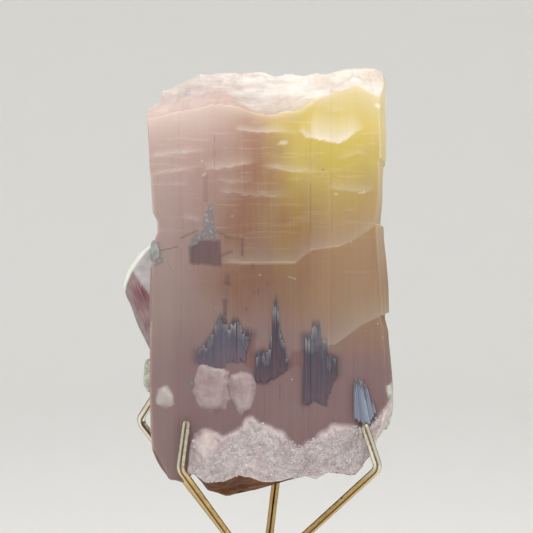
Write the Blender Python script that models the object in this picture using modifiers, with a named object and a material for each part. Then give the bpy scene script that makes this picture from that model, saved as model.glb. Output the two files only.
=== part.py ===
"""A bicolor tourmaline crystal held upright in a stand of four bent brass wires.

Metres, +Z up. The origin is on the table, under the middle of the stand's collar, and the
crystal's broad striated face looks along -Y. The crystal, its side crystal, the blade
sprays, the lumps and the granular foot are one grown piece, so they are one solid. Each
wire of the stand is one square wire, bent from foot to prong tip.
"""

import math
import random
from typing import NamedTuple

import bmesh
import bpy
from mathutils import Matrix, Quaternion, Vector, noise


class Relief(NamedTuple):
    """Uneven ground whose bumps are about size across and rise and fall by up to height."""

    height: float
    size: float
    seed: float

    def at(self, x, y, z=0.0):
        place = Vector((x, y, z)) / self.size
        return self.height * noise.noise(place + Vector((self.seed, self.seed * 1.7, -self.seed)))


# Outline of the crystal from the front: (height, x) of its side edges, (x, height) of its ends
SPECIMEN_X = 0.0010
FRONT_PLANE = -0.0140
THICKNESS = 0.0255
NOMINAL_LEFT = -0.0240
NOMINAL_RIGHT = 0.0255
LEFT_EDGE = (
    (0.0668, -0.0228), (0.0693, -0.0234), (0.0735, -0.0238), (0.0904, -0.0239), (0.1125, -0.0235),
    (0.1151, -0.0226), (0.1174, -0.0226), (0.1193, -0.0236), (0.1294, -0.0242), (0.1404, -0.0245),
)
RIGHT_EDGE = (
    (0.0672, 0.0233), (0.0708, 0.0243), (0.0742, 0.0265), (0.0778, 0.0277), (0.0820, 0.0278),
    (0.0942, 0.0269), (0.0967, 0.0262), (0.1041, 0.0258), (0.1136, 0.0248), (0.1167, 0.0248),
    (0.1220, 0.0254), (0.1326, 0.0257), (0.1482, 0.0255),
)
TOP_EDGE = (
    (-0.0245, 0.1401), (-0.0243, 0.1408), (-0.0232, 0.1417), (-0.0221, 0.1426), (-0.0213, 0.1434),
    (-0.0213, 0.1452), (-0.0189, 0.1462), (-0.0168, 0.1475), (-0.0136, 0.1488), (-0.0050, 0.1492),
    (0.0002, 0.1496), (0.0023, 0.1490), (0.0086, 0.1488), (0.0156, 0.1496), (0.0205, 0.1504),
    (0.0232, 0.1502), (0.0250, 0.1496), (0.0255, 0.1482),
)
FOOT_EDGE = (
    (-0.0239, 0.0690), (-0.0231, 0.0670), (-0.0206, 0.0622), (-0.0178, 0.0620), (-0.0152, 0.0641),
    (-0.0123, 0.0620), (-0.0083, 0.0624), (-0.0053, 0.0636), (0.0006, 0.0623), (0.0088, 0.0633),
    (0.0111, 0.0631), (0.0135, 0.0642), (0.0204, 0.0637), (0.0217, 0.0649), (0.0236, 0.0677),
)
EDGE_SHIFT_REACH = 0.2

# Plan section of the prism: share of the width, shift in x, depth behind the front plane, spans
SECTION = (
    (0.00, 0.0000, 0.0000, 0),
    (1.00, -0.0014, 0.0000, 1),
    (1.00, 0.0000, 0.0022, 6),
    (1.00, -0.0006, 0.0180, 3),
    (1.00, -0.0062, 0.0242, 5),
    (0.57, 0.0000, 0.0255, 1),
    (0.54, 0.0000, 0.0230, 6),
    (0.24, 0.0000, 0.0238, 4),
    (0.00, 0.0010, 0.0165, 6),
)
SIDE_FLUTES = Relief(0.00035, 0.0018, 4.0)

# Vertical steps of the front face: where each is, and how proud each layer between them stands
FRONT_STEPS = (-0.0176, -0.0108, -0.0052, 0.0013, 0.0097, 0.0139, 0.0196)
FRONT_STEP_OFFSETS = (0.0, 0.00012, 0.0, -0.00014, 0.00002, 0.00018, 0.0, -0.00012)
FRONT_SPAN = 0.0027
STEP_WIDTH = 0.00025

# Growth ledges, (x, height) across the front face, and how proud each layer between them stands
LOWER_LEDGE = (
    (-0.0240, 0.0963), (-0.0135, 0.0955), (-0.0029, 0.0929), (0.0076, 0.0904), (0.0150, 0.0915),
    (0.0202, 0.0957), (0.0270, 0.0988),
)
MIDDLE_LEDGE = (
    (-0.0240, 0.1077), (-0.0103, 0.1085), (0.0065, 0.1087), (0.0101, 0.1115), (0.0160, 0.1123),
    (0.0202, 0.1142), (0.0249, 0.1174),
)
UPPER_LEDGE = (
    (-0.0245, 0.1271), (-0.0166, 0.1288), (-0.0107, 0.1298), (-0.0040, 0.1283), (-0.0004, 0.1296),
    (0.0076, 0.1279), (0.0139, 0.1279), (0.0202, 0.1300), (0.0255, 0.1309),
)
LEDGE_OFFSETS_FRONT = (0.00045, 0.00040, 0.00010, 0.00000)
LEDGE_OFFSETS_BACK = (-0.00040, 0.00050, -0.00020, 0.00020)
LEDGE_SOFTNESS = 0.00018
BACK_LEDGE_RELIEF = Relief(0.0060, 0.020, 2.0)
PRISM_FOOT = 0.0545
PRISM_TOP = 0.1530
CRUST_TOP = 0.0770
CHIP_FOOT = 0.1375
ROWS_PER_BAND = (7, 6, 4, 5, 4, 4)

# Broken top: a plateau that sinks towards the back, and a chipped slope up to it from the front
CHIP_LINE = (
    (-0.0245, 0.1390), (-0.0177, 0.1412), (-0.0114, 0.1404), (-0.0051, 0.1392), (0.0013, 0.1387),
    (0.0055, 0.1399), (0.0086, 0.1420), (0.0118, 0.1439), (0.0192, 0.1458), (0.0223, 0.1442),
    (0.0255, 0.1423),
)
CHIP_SLOPE = 1.5
CHIP_TREAD = 0.0021
CHIP_TREAD_START = 0.35
CHIP_STAIR_SHARE = 0.6
CHIP_RELIEF = Relief(0.0011, 0.0046, 5.0)
PLATEAU_SINKS_FROM = -0.0060
PLATEAU_SINKS_TO = 0.0115
PLATEAU_SINK = 0.0048
PLATEAU_WAVE = Relief(0.0022, 0.011, 7.0)
PLATEAU_RELIEF = Relief(0.0006, 0.0038, 8.0)
SCOOP_CENTRE = (0.0152, -0.0158, 0.1392)
SCOOP_HALF_SIZE = (0.0080, 0.0026, 0.0072)
SCOOP_RELIEF = Relief(0.06, 0.5, 12.0)

# Broken foot: it hangs lowest in a lobe left of the middle, and rises to the left behind
LOBE_CENTRE = (-0.0070, -0.0015)
LOBE_REACH = (0.0078, 0.0070)
LOBE_SAG = 0.0050
BACK_SAG = 0.0009
LEFT_RISE = 0.0035
LEFT_RISES_FROM = -0.0080
LEFT_RISES_TO = -0.0200
MIDDLE_SAGS_FROM = -0.0150
RIM_DEPTH = 0.0026
RIM_RISE = 0.0004
FOOT_RELIEF = Relief(0.0006, 0.0036, 6.0)

# The blocks that cut the two broken surfaces
BREAKER_HALF_WIDTH = 0.0310
BREAKER_HALF_DEPTH = 0.0190
ABOVE_CRYSTAL = 0.170
BELOW_CRYSTAL = 0.040
TOP_SEGMENTS = (38, 22)
FOOT_SEGMENTS = (30, 18)

# Granular crust over the foot of the front face
CRUST_LINE = (
    (-0.0245, 0.0600), (-0.0170, 0.0620), (-0.0155, 0.0710), (-0.0120, 0.0730), (-0.0088, 0.0715),
    (-0.0045, 0.0745), (-0.0025, 0.0760), (0.0025, 0.0730), (0.0075, 0.0700), (0.0110, 0.0718),
    (0.0140, 0.0735), (0.0185, 0.0745), (0.0205, 0.0790), (0.0262, 0.0835), (0.0274, 0.0835),
)
CRUST_FADE = (0.0012, -0.0016)
CRUST_THICKNESS = 0.00085
CRUST_FINE_RELIEF = Relief(0.00045, 0.0021, 1.0)
CRUST_COARSE_RELIEF = Relief(0.00040, 0.0052, 3.0)
CRUST_GRAINS = 44
CRUST_GRAIN_SIZES = (0.0010, 0.0019)
CRUST_GRAIN_START = -0.0125
CRUST_GRAIN_SPREAD = 0.0325
CRUST_GRAIN_Y = FRONT_PLANE - 0.0006
CRUST_GRAIN_DEPTH_SHARE = 0.75
CRUST_GRAIN_HEIGHT_SHARES = (0.7, 1.0)
CRUST_GRAIN_ABOVE_FOOT = 1.3
CRUST_GRAIN_BELOW_LINE = 0.4
CRUST_SEED = 5

# Pale grains of the matrix: centre, half sizes
LUMPS = {
    "edge lump": ((-0.0244, -0.0080, 0.0846), (0.0016, 0.0030, 0.0037)),
    "left lump": ((-0.0210, -0.0139, 0.0804), (0.0020, 0.0013, 0.0024)),
    "round grain": ((-0.0114, -0.0135, 0.0826), (0.0044, 0.0022, 0.0054)),
    "second round grain": ((-0.0080, -0.0138, 0.0798), (0.0036, 0.0022, 0.0042)),
    "small grain": ((-0.0045, -0.0135, 0.0806), (0.0028, 0.0026, 0.0046)),
    "foot lump": ((-0.0125, -0.0138, 0.0705), (0.0034, 0.0024, 0.0036)),
    "corner lump": ((0.0258, -0.0085, 0.0780), (0.0018, 0.0050, 0.0050)),
    "corner star": ((0.0255, -0.0128, 0.0812), (0.0016, 0.0012, 0.0018)),
    "edge blade": ((-0.0230, -0.0128, 0.1110), (0.0012, 0.0018, 0.0028)),
}
LUMP_ROUGHNESS = 0.20
LUMP_BUMP_SIZE = 0.8

# Blade sprays: foot middle (x, height), half width at the foot, length, lean, blades, proud
SPRAYS = {
    "left spray": ((-0.0086, 0.0868), 0.0038, 0.0112, 0.03, 6, 0.00030),
    "middle spray": ((0.0018, 0.0842), 0.0025, 0.0172, 0.02, 5, 0.00030),
    "right spray": ((0.0118, 0.0790), 0.0025, 0.0165, 0.00, 5, 0.00030),
    "corner spray": ((0.0222, 0.0742), 0.0022, 0.0112, -0.22, 5, 0.00080),
}
SPRAY_CROWN = 0.50
SPRAY_UNEVEN_LENGTH = 0.30
SPRAY_UNEVEN_FOOT = 0.0012
SPRAY_UNEVEN_PROUD = 0.6
SPRAY_FAN = 0.05
BLADE_DEPTH = 0.0022
BLADE_SIDES = 6
BLADE_OVERLAP = 1.8
BLADE_TAPER = 0.65
BLADE_TIP_SLANT = 0.12

# Side crystal: the tip is (rise, share of the radius, shift along x) of each ring above the prism
SIDE_CRYSTAL_ROOT = Vector((-0.0124, -0.0012, 0.0784))
SIDE_CRYSTAL_AXIS = Vector((-0.41, 0.20, 0.885)).normalized()
SIDE_CRYSTAL_RADIUS = 0.0073
SIDE_CRYSTAL_LENGTH = 0.0286
SIDE_CRYSTAL_TURN = 0.52
SIDE_CRYSTAL_TIP = (
    (0.0030, 0.90, 0.0), (0.0026, 0.72, 0.0006), (0.0030, 0.58, 0.0026), (0.0024, 0.38, 0.0056),
)
SIDE_CRYSTAL_RELIEF = Relief(0.0004, 0.0060, 9.0)

# Square brass wire stand
WIRE_SIDE = 0.0014
WIRE_EDGE_RADIUS = 0.00022
BEND_RADIUS = 0.0020
BEND_STEPS = 5
BEND_LONGEST_SHARE = 0.45
BUNDLE_OFFSET = 0.0012
BUNDLE_TOP = 0.0410
BUNDLE_FOOT = 0.0300
FOOT_BEND = 0.0260
FOOT_END = 0.0310
PRONG_TIP_SHARE = 0.55
PRONG_SHOULDER = 0.6 * WIRE_SIDE
COLLAR_RADIUS = 0.0038
COLLAR_BORE = 0.0028
COLLAR_HEIGHT = 0.0070
COLLAR_RIM = 0.0004
COLLAR_SIDES = 40
COLLAR_SHARP_ANGLE = math.radians(50.0)
# name: side of the stand the foot is on, then the prong's bend and its tip
WIRES = {
    "stand_wire_front_left": ((-1, -1), (-0.0166, -0.0173, 0.0655), (-0.0153, -0.0157, 0.0756)),
    "stand_wire_front_right": ((1, -1), (0.0249, -0.0178, 0.0658), (0.0219, -0.0166, 0.0748)),
    "stand_wire_back_left": ((-1, 1), (-0.0272, 0.0078, 0.0732), (-0.0226, 0.0022, 0.0803)),
    "stand_wire_back_right": ((1, 1), (0.0040, 0.0138, 0.0620), (0.0046, 0.0125, 0.0760)),
}


def clear_scene():
    for old in list(bpy.data.objects):
        bpy.data.objects.remove(old, do_unlink=True)


def new_collection(name):
    collection = bpy.data.collections.new(name)
    bpy.context.scene.collection.children.link(collection)
    return collection


def material(name, colour, roughness, metallic=0.0):
    made = bpy.data.materials.new(name)
    made.use_nodes = True
    shader = made.node_tree.nodes["Principled BSDF"]
    shader.inputs["Base Color"].default_value = (*colour, 1.0)
    shader.inputs["Roughness"].default_value = roughness
    shader.inputs["Metallic"].default_value = metallic
    return made


def object_from(build, name, collection):
    """A new object from a bmesh, which is used up."""
    mesh = bpy.data.meshes.new(name)
    build.normal_update()
    build.to_mesh(mesh)
    build.free()
    made = bpy.data.objects.new(name, mesh)
    collection.objects.link(made)
    return made


def hide(helper):
    helper.hide_render = True
    helper.display_type = "WIRE"


def cut_away(target, cutter):
    cut = target.modifiers.new(cutter.name, "BOOLEAN")
    cut.operation = "DIFFERENCE"
    cut.solver = "EXACT"
    cut.object = cutter


def join_all(target, collection):
    """Unites the target with everything in the collection, which is then only a helper."""
    for helper in collection.objects:
        hide(helper)
    union = target.modifiers.new("grown together", "BOOLEAN")
    union.operation = "UNION"
    union.solver = "EXACT"
    union.use_self = True
    union.operand_type = "COLLECTION"
    union.collection = collection


def along(curve, position):
    """Value of a broken line, given as (position, value) pairs, held flat past its ends."""
    if position <= curve[0][0]:
        return curve[0][1]
    for (start, low), (end, high) in zip(curve, curve[1:]):
        if position <= end:
            return low + (high - low) * (position - start) / (end - start)
    return curve[-1][1]


def ramp(low, high, value):
    share = min(1.0, max(0.0, (value - low) / (high - low)))
    return share * share * (3.0 - 2.0 * share)


# Plan section
def front_columns():
    """x of the front face's columns, with a close pair wherever a striation steps."""
    columns = [NOMINAL_LEFT]
    for step in (*FRONT_STEPS, NOMINAL_RIGHT + SECTION[1][1]):
        start = columns[-1]
        spans = max(1, round((step - start) / FRONT_SPAN))
        columns += [start + (step - start) * n / spans for n in range(1, spans + 1)]
        if step in FRONT_STEPS:
            columns.append(step + STEP_WIDTH)
    return columns


def section_columns():
    """(x, y, outward normal, front) of every column of the prism, anticlockwise from above."""
    width = NOMINAL_RIGHT - NOMINAL_LEFT
    columns = [(x, FRONT_PLANE, Vector((0, -1)), True) for x in front_columns()]
    corners = [
        Vector((NOMINAL_LEFT + share * width + shift, FRONT_PLANE + depth))
        for share, shift, depth, _ in SECTION
    ]
    sides = zip(corners[1:], [*corners[2:], corners[0]], SECTION[1:])
    for start, end, (_, _, _, spans) in sides:
        side = (end - start).normalized()
        normal = Vector((side.y, -side.x))
        spots = [start.lerp(end, n / spans) for n in range(1, spans + 1)]
        columns += [(spot.x, spot.y, normal, False) for spot in spots]
    return columns[:-1]


# Heights of the layers, seen in plan
def depth_share(y):
    return min(1.0, max(0.0, (y - FRONT_PLANE) / THICKNESS))


def staircase(climb, tread):
    """A climb that goes in rounded steps of one tread each."""
    whole = math.floor(climb / tread)
    return tread * (whole + ramp(CHIP_TREAD_START, 1.0, climb / tread - whole))


def top_height(x, y):
    behind = ramp(PLATEAU_SINKS_FROM, PLATEAU_SINKS_TO, y)
    plateau = along(TOP_EDGE, x) + PLATEAU_RELIEF.at(x, y)
    plateau -= behind * (PLATEAU_SINK + PLATEAU_WAVE.at(x, y))
    climb = max(0.0, y - FRONT_PLANE) * CHIP_SLOPE
    stair = CHIP_STAIR_SHARE * staircase(climb, CHIP_TREAD) + (1.0 - CHIP_STAIR_SHARE) * climb
    return min(plateau, along(CHIP_LINE, x) + stair + CHIP_RELIEF.at(x, y))


def foot_height(x, y):
    from_lobe = [(place - centre) / reach for place, centre, reach
                 in zip((x, y), LOBE_CENTRE, LOBE_REACH)]
    lobe = math.exp(-sum(share * share for share in from_lobe))
    behind = ramp(FRONT_PLANE, PLATEAU_SINKS_TO, y)
    rim = max(0.0, 1.0 - (y - FRONT_PLANE) / RIM_DEPTH)
    rise = LEFT_RISE * behind * ramp(LEFT_RISES_FROM, LEFT_RISES_TO, x) + RIM_RISE * rim * rim
    sag = LOBE_SAG * lobe + BACK_SAG * behind * ramp(MIDDLE_SAGS_FROM, 0.0, x)
    return along(FOOT_EDGE, x) - sag + rise + FOOT_RELIEF.at(x, y)


def ledge_height(line, x, y):
    """A ledge runs round the prism, and crosses its back the other way and less evenly."""
    back = along(line, -x) + BACK_LEDGE_RELIEF.at(x, 0.0, along(line, 0.0))
    return along(line, x) * (1.0 - depth_share(y)) + back * depth_share(y)


def row_heights(x, y):
    """(height, layer) of each row of a column; a pair of close rows makes each ledge."""
    ledges = [ledge_height(line, x, y) for line in (LOWER_LEDGE, MIDDLE_LEDGE, UPPER_LEDGE)]
    bounds = [PRISM_FOOT, CRUST_TOP, *ledges, CHIP_FOOT, PRISM_TOP]
    rows = [(PRISM_FOOT, 0)]
    for band, (low, high) in enumerate(zip(bounds, bounds[1:])):
        layer = max(0, min(band - 1, len(ledges)))
        if low in ledges:
            low += LEDGE_SOFTNESS
            rows.append((low, layer))
        if high in ledges:
            high -= LEDGE_SOFTNESS
        spans = ROWS_PER_BAND[band]
        rows += [(low + (high - low) * n / spans, layer) for n in range(1, spans + 1)]
    return rows


# Surface of the prism
def striation_offset(x, y, front):
    """How far a vertical layer of the prism stands proud."""
    if front:
        return FRONT_STEP_OFFSETS[sum(x > step for step in FRONT_STEPS)]
    return SIDE_FLUTES.at(x, y)


def crust_offset(x, z):
    cover = ramp(*CRUST_FADE, z - along(CRUST_LINE, x))
    grain = CRUST_FINE_RELIEF.at(x, 0.0, z) + CRUST_COARSE_RELIEF.at(x, 0.0, z)
    return cover * (CRUST_THICKNESS + grain)


def edge_shift(x, z):
    """Sideways shift that gives the side edges their outline and fades towards the middle."""
    share = (x - NOMINAL_LEFT) / (NOMINAL_RIGHT - NOMINAL_LEFT)
    left = (along(LEFT_EDGE, z) - NOMINAL_LEFT) * max(0.0, 1.0 - share / EDGE_SHIFT_REACH)
    right = (along(RIGHT_EDGE, z) - NOMINAL_RIGHT) * max(0.0, 1.0 - (1.0 - share) / EDGE_SHIFT_REACH)
    return left + right


def surface_point(x, y, normal, front, z, layer):
    ledges = LEDGE_OFFSETS_FRONT if front else LEDGE_OFFSETS_BACK
    proud = striation_offset(x, y, front) + ledges[layer]
    if front:
        proud += crust_offset(x, z)
    return Vector((x + edge_shift(x, z) + normal.x * proud, y + normal.y * proud, z))


def crystal_body(collection):
    """The prism, lofted up its plan section row by row with the relief of each row."""
    columns = section_columns()
    heights = [row_heights(x, y) for x, y, _, _ in columns]
    build = bmesh.new()
    rings = [
        [
            build.verts.new(surface_point(*column, *heights[index][row]))
            for index, column in enumerate(columns)
        ]
        for row in range(len(heights[0]))
    ]
    for lower, upper in zip(rings, rings[1:]):
        for index in range(len(lower)):
            after = (index + 1) % len(lower)
            build.faces.new((lower[index], lower[after], upper[after], upper[index]))
    build.faces.new(reversed(rings[0]))
    build.faces.new(rings[-1])
    bmesh.ops.triangulate(build, faces=build.faces[:])
    return object_from(build, "crystal", collection)


# Breaks and chips
def breaker(name, height, outside, segments, collection):
    """A block that cuts the prism off along the broken surface that height gives in plan."""
    build = bmesh.new()
    bmesh.ops.create_grid(build, x_segments=segments[0], y_segments=segments[1], size=1.0)
    for vert in build.verts:
        x = vert.co.x * BREAKER_HALF_WIDTH
        y = vert.co.y * BREAKER_HALF_DEPTH
        vert.co = (x, y, height(x, y))
    grown = bmesh.ops.extrude_face_region(build, geom=build.faces[:])["geom"]
    for item in grown:
        if isinstance(item, bmesh.types.BMVert):
            item.co.z = outside
    bmesh.ops.recalc_face_normals(build, faces=build.faces[:])
    cutter = object_from(build, name, collection)
    hide(cutter)
    return cutter


def scoop(collection):
    """A flat ellipsoid that leaves the shell-shaped hollow below the chipped top, on the right."""
    build = bmesh.new()
    bmesh.ops.create_uvsphere(build, u_segments=18, v_segments=10, radius=1.0)
    bmesh.ops.rotate(build, verts=build.verts[:], matrix=Matrix.Rotation(math.pi / 2.0, 3, "X"))
    for vert in build.verts:
        vert.co *= 1.0 + SCOOP_RELIEF.at(*vert.co)
    bmesh.ops.scale(build, verts=build.verts[:], vec=SCOOP_HALF_SIZE)
    cutter = object_from(build, "scoop", collection)
    cutter.location = SCOOP_CENTRE
    hide(cutter)
    return cutter


# Things grown on the crystal
def side_crystal(collection):
    """A short six-sided crystal that leans out of the left side, broken off aslant at its tip."""
    lean = SIDE_CRYSTAL_AXIS.to_track_quat("Z", "Y") @ Quaternion((0, 0, 1), SIDE_CRYSTAL_TURN)
    build = bmesh.new()
    bmesh.ops.create_cone(
        build,
        cap_ends=True,
        segments=6,
        radius1=SIDE_CRYSTAL_RADIUS,
        radius2=SIDE_CRYSTAL_RADIUS,
        depth=SIDE_CRYSTAL_LENGTH,
        matrix=Matrix.Translation((0.0, 0.0, SIDE_CRYSTAL_LENGTH / 2.0)),
    )
    tip = max(build.faces, key=lambda face: face.calc_center_median().z)
    reach, aside = 1.0, Vector()
    for rise, share, shift in SIDE_CRYSTAL_TIP:
        tip = bmesh.ops.extrude_discrete_faces(build, faces=[tip])["faces"][0]
        shifted = lean.inverted() @ Vector((shift, 0.0, 0.0))
        for vert in tip.verts:
            vert.co -= aside
            vert.co.xy *= share / reach
            vert.co += shifted + Vector((0.0, 0.0, rise))
        reach, aside = share, shifted
    bmesh.ops.subdivide_edges(build, edges=build.edges[:], cuts=1, use_grid_fill=True)
    for vert in build.verts:
        radial = Vector((vert.co.x, vert.co.y, 0.0))
        if radial.length > SIDE_CRYSTAL_RADIUS / 4.0:
            vert.co += radial.normalized() * SIDE_CRYSTAL_RELIEF.at(*vert.co)
    made = object_from(build, "side crystal", collection)
    made.location = SIDE_CRYSTAL_ROOT
    made.rotation_mode = "QUATERNION"
    made.rotation_quaternion = lean


def blade(collection, name, foot, length, width, lean, proud):
    """One six-sided blade, sunk in the front face down to the height it stands proud."""
    build = bmesh.new()
    bmesh.ops.create_cone(
        build,
        cap_ends=True,
        segments=BLADE_SIDES,
        radius1=0.5,
        radius2=0.5,
        depth=1.0,
        matrix=Matrix.Translation((0.0, 0.0, 0.5)),
    )
    for vert in build.verts:
        if vert.co.z > 0.5:
            vert.co.z -= BLADE_TIP_SLANT * vert.co.x
            vert.co.x *= BLADE_TAPER
    bmesh.ops.scale(build, verts=build.verts[:], vec=(width, BLADE_DEPTH, length))
    made = object_from(build, name, collection)
    half_depth = BLADE_DEPTH / 2.0 * math.cos(math.pi / BLADE_SIDES)
    face = FRONT_PLANE - LEDGE_OFFSETS_FRONT[0] - proud
    made.location = (foot[0], face + half_depth, foot[1])
    made.rotation_euler = (0.0, lean, 0.0)


def sprays(collection):
    """Bundles of blades that start side by side and end at uneven heights."""
    for name, (foot, half_width, length, lean, count, proud) in SPRAYS.items():
        for n in range(count):
            across = -1.0 + 2.0 * n / (count - 1)
            uneven = noise.noise(Vector((n * 1.37, length * 900.0, half_width * 500.0)))
            crown = 1.0 - SPRAY_CROWN * across * across + SPRAY_UNEVEN_LENGTH * uneven
            spot = (foot[0] + across * half_width, foot[1] + SPRAY_UNEVEN_FOOT * uneven)
            width = BLADE_OVERLAP * 2.0 * half_width / (count - 1)
            stands = proud * (1.0 + SPRAY_UNEVEN_PROUD * uneven)
            tilt = lean + SPRAY_FAN * across
            blade(collection, f"{name} {n}", spot, length * crown, width, tilt, stands)


def lump(name, centre, half, subdivisions, seed, collection):
    """A rough grain that stands out of the crystal's face."""
    bumps = Relief(LUMP_ROUGHNESS, LUMP_BUMP_SIZE, seed)
    build = bmesh.new()
    bmesh.ops.create_icosphere(build, subdivisions=subdivisions, radius=1.0)
    for vert in build.verts:
        vert.co *= 1.0 + bumps.at(*vert.co)
    bmesh.ops.scale(build, verts=build.verts[:], vec=half)
    object_from(build, name, collection).location = centre


def lumps(collection):
    """The pale grains of the matrix, and the coarser grains of the foot's crust."""
    for index, (name, (centre, half)) in enumerate(LUMPS.items()):
        lump(name, centre, half, 2, 10.0 + index, collection)
    chance = random.Random(CRUST_SEED)
    for n in range(CRUST_GRAINS):
        size = chance.uniform(*CRUST_GRAIN_SIZES)
        x = CRUST_GRAIN_START + (n + chance.random()) * CRUST_GRAIN_SPREAD / CRUST_GRAINS
        low = along(FOOT_EDGE, x) + CRUST_GRAIN_ABOVE_FOOT * size
        high = max(low, along(CRUST_LINE, x) - CRUST_GRAIN_BELOW_LINE * size)
        centre = (x, CRUST_GRAIN_Y, chance.uniform(low, high))
        height = size * chance.uniform(*CRUST_GRAIN_HEIGHT_SHARES)
        half = (size, CRUST_GRAIN_DEPTH_SHARE * size, height)
        lump(f"crust grain {n}", centre, half, 1, float(n), collection)


# Stand
def bent_path(corners):
    """The corners as one path whose inner corners are rounded by arcs."""
    path = [corners[0]]
    for before, corner, after in zip(corners, corners[1:], corners[2:]):
        back, ahead = (before - corner).normalized(), (after - corner).normalized()
        half_angle = back.angle(ahead) / 2.0
        shorter = min((before - corner).length, (after - corner).length)
        reach = min(BEND_RADIUS / math.tan(half_angle), BEND_LONGEST_SHARE * shorter)
        centre = corner + (back + ahead).normalized() * reach / math.cos(half_angle)
        start = corner + back * reach - centre
        end = corner + ahead * reach - centre
        sweep = start.angle(end)
        for n in range(BEND_STEPS + 1):
            first = math.sin((1.0 - n / BEND_STEPS) * sweep) / math.sin(sweep)
            second = math.sin(n / BEND_STEPS * sweep) / math.sin(sweep)
            path.append(centre + start * first + end * second)
    return [*path, corners[-1]]


def poly_curve(name, points, cyclic, collection):
    """A curve object of one spline of straight pieces through the points."""
    curve = bpy.data.curves.new(name, "CURVE")
    spline = curve.splines.new("POLY")
    spline.points.add(len(points) - 1)
    for point, spot in zip(spline.points, points):
        point.co = (*spot, 1.0)
    spline.use_cyclic_u = cyclic
    made = bpy.data.objects.new(name, curve)
    collection.objects.link(made)
    return made


def wire_profile(collection):
    """The wire's square section with eased corners, clockwise, as a guide curve."""
    half, ease = WIRE_SIDE / 2.0, WIRE_EDGE_RADIUS
    corners = [
        Matrix.Rotation(-turn * math.pi / 2.0, 3, "Z") @ Vector((*corner, 0.0))
        for turn in range(4)
        for corner in ((half - ease, half), (half, half - ease))
    ]
    profile = poly_curve("wire section", corners, True, collection)
    profile.data.dimensions = "2D"
    profile.data.fill_mode = "NONE"
    hide(profile)
    return profile


def wire_path(quadrant, bend, tip):
    """From the foot on the table up through the bundle, out to the bend and up the prong."""
    plan = Vector((*quadrant, 0.0))
    table = Vector((0.0, 0.0, WIRE_SIDE / 2.0))
    bundle = plan * BUNDLE_OFFSET
    up = Vector((0.0, 0.0, 1.0))
    path = bent_path([
        plan * FOOT_END + table,
        plan * FOOT_BEND + table,
        bundle + up * BUNDLE_FOOT,
        bundle + up * BUNDLE_TOP,
        Vector(bend),
        Vector(tip),
    ])
    shoulder = path[-1] + (path[-2] - path[-1]).normalized() * PRONG_SHOULDER
    return [*path[:-1], shoulder, path[-1]]


def stand_wire(name, quadrant, bend, tip, profile, brass, collection):
    """One square wire, from its foot up through the bundle to its prong."""
    wire = poly_curve(name, wire_path(quadrant, bend, tip), False, collection)
    wire.data.dimensions = "3D"
    wire.data.bevel_mode = "OBJECT"
    wire.data.bevel_object = profile
    wire.data.use_fill_caps = True
    wire.data.twist_mode = "MINIMUM"
    wire.data.splines[0].points[-1].radius = PRONG_TIP_SHARE
    wire.data.materials.append(brass)


def upright_cylinder(name, radius, height, collection):
    """A cylinder round the stand's axis, in the middle of the bundle's height."""
    middle = (BUNDLE_TOP + BUNDLE_FOOT) / 2.0
    bpy.ops.mesh.primitive_cylinder_add(
        vertices=COLLAR_SIDES, radius=radius, depth=height, location=(0.0, 0.0, middle)
    )
    made = bpy.context.object
    made.name = name
    for owner in list(made.users_collection):
        owner.objects.unlink(made)
    collection.objects.link(made)
    return made


def stand_collar(brass, collection, cutters):
    """The sleeve that holds the four wires together."""
    collar = upright_cylinder("stand_collar", COLLAR_RADIUS, COLLAR_HEIGHT, collection)
    bevel = collar.modifiers.new("eased rims", "BEVEL")
    bevel.width = COLLAR_RIM
    bevel.segments = 2
    bore = upright_cylinder("collar bore", COLLAR_BORE, 2.0 * COLLAR_HEIGHT, cutters)
    hide(bore)
    cut_away(collar, bore)
    collar.data.shade_smooth()
    collar.data.set_sharp_from_angle(angle=COLLAR_SHARP_ANGLE)
    collar.data.materials.append(brass)


def specimen(stone, parts, grown, cutters):
    """The whole stone: the prism, broken at both ends, and what has grown on it."""
    crystal = crystal_body(parts)
    crystal.data.materials.append(stone)
    cut_away(crystal, breaker("broken top", top_height, ABOVE_CRYSTAL, TOP_SEGMENTS, cutters))
    cut_away(crystal, breaker("broken foot", foot_height, BELOW_CRYSTAL, FOOT_SEGMENTS, cutters))
    cut_away(crystal, scoop(cutters))
    side_crystal(grown)
    sprays(grown)
    lumps(grown)
    join_all(crystal, grown)
    place = bpy.data.objects.new("specimen", None)
    parts.objects.link(place)
    place.location.x = SPECIMEN_X
    for piece in (crystal, *cutters.objects, *grown.objects):
        piece.parent = place


def main():
    clear_scene()
    parts = new_collection("tourmaline crystal on a wire stand")
    grown = new_collection("grown on the crystal")
    cutters = new_collection("cutters and guides")
    stone = material("pink and yellow tourmaline", (0.62, 0.43, 0.38), 0.35)
    brass = material("polished brass", (0.72, 0.53, 0.22), 0.22, metallic=1.0)
    specimen(stone, parts, grown, cutters)
    profile = wire_profile(cutters)
    for name, (quadrant, bend, tip) in WIRES.items():
        stand_wire(name, quadrant, bend, tip, profile, brass, parts)
    stand_collar(brass, parts, cutters)


main()
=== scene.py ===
"""Looks of the bicolor tourmaline crystal in its stand of four bent brass wires.

Metres, +Z up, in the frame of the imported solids. The specimen's own x runs from its middle,
which is SPECIMEN_X to the right of the stand's axis; heights are from the table. The crystal's
surface is lofted round its plan section from the broken foot to the broken top, and its relief
and the masks that its material mixes its colours by come from the same named outlines.
"""

import math
import random
from typing import NamedTuple

import bmesh
import bpy
import numpy as np
from mathutils import Matrix, Quaternion, Vector, noise


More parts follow.
